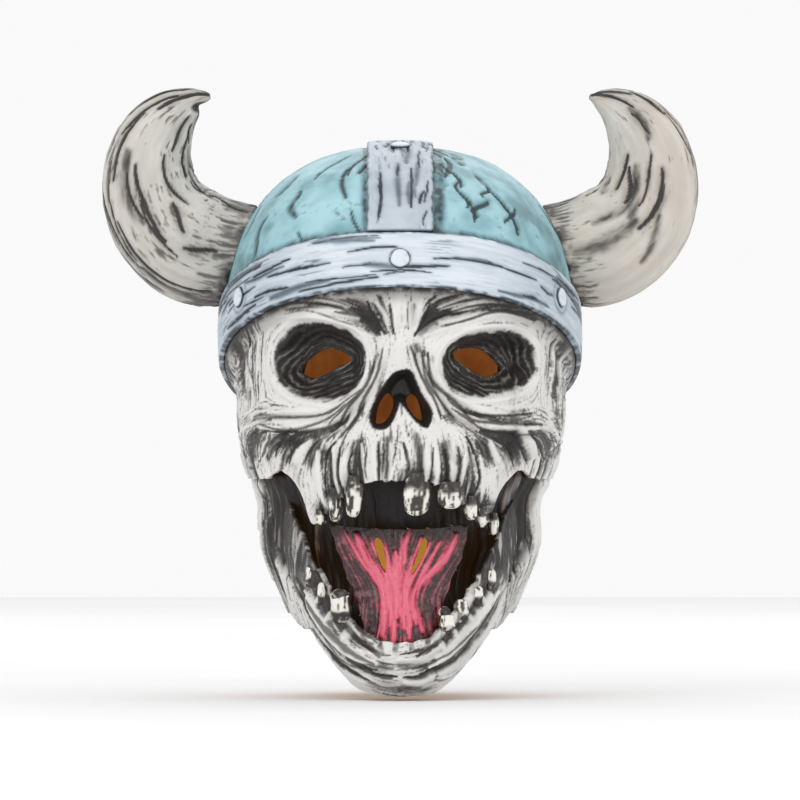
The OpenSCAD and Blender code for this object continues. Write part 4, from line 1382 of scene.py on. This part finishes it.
def build_tongue():
    r = Relief(40, -162, -90, 0.4, lambda line: line)
    draw_fan(r, np.random.default_rng(13), TONGUE_FAN, astray=2)
    r.finish(0.5, 305)
    # even steps across in millimetres, so that the slits keep their outline
    S, Z = np.meshgrid(np.linspace(-1, 1, 181), np.linspace(-160, -93, 151))
    X = ease(Z, TONGUE_HALF) * S
    X = X + 0.9 * hash_noise(joined(Z, Z * 0), 5, 136) * S ** 2

    def place(x, v):
        s = np.clip(x / ease(v, TONGUE_HALF), -1.1, 1.1)
        f = (v + 152) / 59
        y = ease(v, TONGUE_Y) + 4 * s * s - 1.0 * r.sample(r.height, x, v) - 1.2 * cloud(joined(x, v), 9, 132)
        return joined(x, y, v + 3 * s * s * f)

    def paint(x, v, p):
        bare = r.sample(r.bare, x, v)
        broad = r.sample(r.broad, x, v)
        fray = 0.3 * cloud(joined(x, v), 3.2, 139) + 0.16 * cloud(joined(x, v), 1.2, 140)
        pink = smooth((bare + 0.9 * broad - 0.66 + fray) / 0.34)
        dark = smooth((0.66 - bare - 0.9 * broad - fray) / 0.3)
        top = smooth((v + 101 + 4 * cloud(joined(x, v), 6, 138)) / 7)
        # painted highlight on the strands
        lit = smooth((bare + 0.8 * broad - 1.05) / 0.3)
        rgb = blend_colours(srgb(122, 62, 68), (srgb(206, 66, 98), pink), (srgb(226, 106, 128), lit),
                            (srgb(110, 96, 94), 0.5 * smooth(1.5 * cloud(p, 6, 134) - 0.1) * (1 - pink)),
                            (srgb(40, 20, 21), 0.9 * dark), (srgb(24, 14, 14), 0.92 * top))
        return toned(rgb, pink)

    holes = [refine(line, 0.4, closed=True) for line in SLITS]
    obj = shell("tongue_skin", place, X, Z, paint, (FLESH, AMBER), thick=3.2, holes=holes)
    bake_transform(obj)
    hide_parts("tongue")


TOOTH_TONES = tones((232, 230, 222), (206, 202, 190), (150, 144, 134),
                    (92, 86, 80), (50, 44, 41), (26, 21, 20))


def build_tooth(kind, k, spec):
    x, gum, tip, width = spec
    t = float(np.sign(x) * math.asin((abs(x) / (HEAD[0] + float(ease(gum, WIDTHS)))) ** (BOXY / 2)))
    if kind == "upper":
        p = skin_point(np.array([float(arc_at(t))]), np.array([float(gum) + 6]))[0]
        y, turn = p[1] + TOOTH_D / 2 - 1.6, 0.75 * t
    else:
        rim = np.array(JAW_RIM, float)
        y, turn = float(np.interp(abs(x), rim[:, 0], rim[:, 1])) + TOOTH_D / 2 - 2, 0.8 * t
    hollow = kind == "lower" and k in STUMPS
    rows = 41
    share = np.linspace(-0.3, 1, rows)
    sides = 48
    w = np.linspace(0, 2 * math.pi, sides, endpoint=False)
    size = ease(share, TOOTH_PROFILE)
    if hollow:
        size = np.where(share > 0.6, 0.98, size)
    slant = 2.4 * np.sin(w) + 0.8 * np.cos(2 * w + k)
    rings = []
    for q, s in zip(share, size):
        ridge = 1 + 0.06 * np.sin(3 * w + k) + 0.05 * np.sin(5 * w + 2.3 * k)
        cx = width / 2 * s * signed_pow(np.cos(w), 0.8) * ridge
        cy = TOOTH_D / 2 * s * signed_pow(np.sin(w), 0.8) * ridge
        z = mix(gum, tip, q) + (slant * max(q, 0) if hollow else 0)
        bend = 0.5 * math.sin(2 * q + k)
        rings.append(joined(cx + bend, cy, z + 0 * w))
    if hollow:
        for s, dz in ((0.82, 0.2), (0.66, -1.6), (0.48, -3.4), (0.2, -4.4)):
            rings.append(joined(width / 2 * s * np.cos(w), TOOTH_D / 2 * s * np.sin(w),
                                   tip + dz + slant * s))
    P = np.array(rings)
    outline = np.abs(np.cos(w))[None] + 0 * P[..., 0]
    c, s = math.cos(turn), math.sin(turn)
    P = joined(x + c * P[..., 0] - s * P[..., 1], y + s * P[..., 0] + c * P[..., 1], P[..., 2])
    q = np.concatenate([share, np.full(len(P) - rows, 1.3)])[:, None] * np.ones(sides)
    groove = smooth((cloud(P * np.array([1, 1, 0.22]), 1.7, 140 + 3 * k) - 0.06) / 0.2) * (q < 1.1)
    P[..., 1] += 0.5 * groove * (q < 0.95)
    tone = 0.9 * smooth((0.34 - q + 0.2 * cloud(P, 4, 152)) / 0.3) * smooth(0.9 + cloud(P, 2, 150))
    tone = np.maximum(tone, 0.8 * groove)
    sides_dark = smooth((outline - 0.74) / 0.18) * smooth(0.75 + cloud(P, 3, 151))
    tone = np.maximum(tone, 0.9 * sides_dark * (q < 0.95))
    # painted shade: the inside of a hollow stump is near black
    tone = np.maximum(tone, 0.97 * smooth((q - 1.1) / 0.1))
    tone = np.clip(tone, 0, 1)
    rgb = blend_colours(TOOTH_TONES(tone), (srgb(150, 112, 60), 0.3 * smooth(cloud(P, 5, 160)) * (1 - tone)))
    if hollow:
        # painted pink highlight inside the hollow stump
        pink_highlight = 0.5 * smooth((q - 1.1) / 0.1) * smooth(cloud(P, 2.5, 161))
        rgb = blend_colours(rgb, (srgb(150, 70, 78), pink_highlight))
    if tip < gum:
        P, rgb = P[:, ::-1], rgb[:, ::-1]
    obj = tube("%s_tooth_cap_%d" % (kind, k + 1), P, rgb, (ENAMEL,))
    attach(obj, "head" if kind == "upper" else "jaw")
    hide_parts("%s_tooth_%d" % (kind, k + 1))


build_face()
for side, name in ((1, "left"), (-1, "right")):
    build_side(side, name)
    build_nape(side, name)
build_dome()
build_brow_band()
build_crest()
build_rivets()
build_horn(1, "left", 44)
build_horn(-1, "right", 62)
build_jaw()
build_lining()
build_tongue()
for k, spec in enumerate(UPPER_TEETH):
    build_tooth("upper", k, spec)
for k, spec in enumerate(LOWER_TEETH):
    build_tooth("lower", k, spec)


# ---------------------------------------------------------------- floor, light and camera

FLOOR_Z = -0.184     # metres, just under the neck


def build_stage():
    verts, faces = [], []
    sides = 96
    radii = (0.0, 0.6, 1.2, 2.4, 3.0)
    verts.append((0, 0, FLOOR_Z))
    for r in radii[1:]:
        for k in range(sides):
            a = 2 * math.pi * k / sides
            verts.append((r * math.cos(a), r * math.sin(a), FLOOR_Z))
    for k in range(sides):
        faces.append((0, 1 + k, 1 + (k + 1) % sides))
    for ring in range(len(radii) - 2):
        a, b = 1 + ring * sides, 1 + (ring + 1) * sides
        for k in range(sides):
            faces.append((a + k, b + k, b + (k + 1) % sides, a + (k + 1) % sides))
    mesh = bpy.data.meshes.new("floor")
    mesh.from_pydata(verts, [], faces)
    floor = bpy.data.objects.new("floor", mesh)
    bpy.context.scene.collection.objects.link(floor)
    mesh.materials.append(plain("floor_paint", (0.86, 0.86, 0.86), (0.9, 0.9, 0.9), 0.9, 4, 0.0, spec=0.1))


def area_light(name, place, size, power, target=(0, 0, -0.02)):
    data = bpy.data.lights.new(name, "AREA")
    data.shape = "RECTANGLE"
    data.size = size
    data.size_y = size
    data.energy = power
    light = bpy.data.objects.new(name, data)
    bpy.context.scene.collection.objects.link(light)
    light.location = place
    aim = np.array(target) - np.array(place)
    tilt = math.acos(-aim[2] / np.linalg.norm(aim))
    light.rotation_euler = (tilt, 0, math.atan2(aim[1], aim[0]) - math.pi / 2)


build_stage()
area_light("key_light", (-1.1, -2.0, 1.3), 1.6, 13)
area_light("fill_light", (1.6, -1.8, 0.5), 1.8, 7)
area_light("back_light", (0.2, 1.8, 1.6), 1.6, 8)

world = bpy.data.worlds.new("studio")
bpy.context.scene.world = world
world.use_nodes = True
background = world.node_tree.nodes["Background"]
background.inputs["Color"].default_value = (1, 1, 1, 1)
background.inputs["Strength"].default_value = 0.95

lens = bpy.data.cameras.new("camera")
lens.lens = 500
lens.sensor_width = 36
lens.clip_end = 60
camera = bpy.data.objects.new("camera", lens)
bpy.context.scene.collection.objects.link(camera)
camera.location = (0, -6, -0.0244)
camera.rotation_euler = (math.radians(90), 0, 0)
bpy.context.scene.camera = camera
bpy.context.scene.view_settings.view_transform = "Standard"
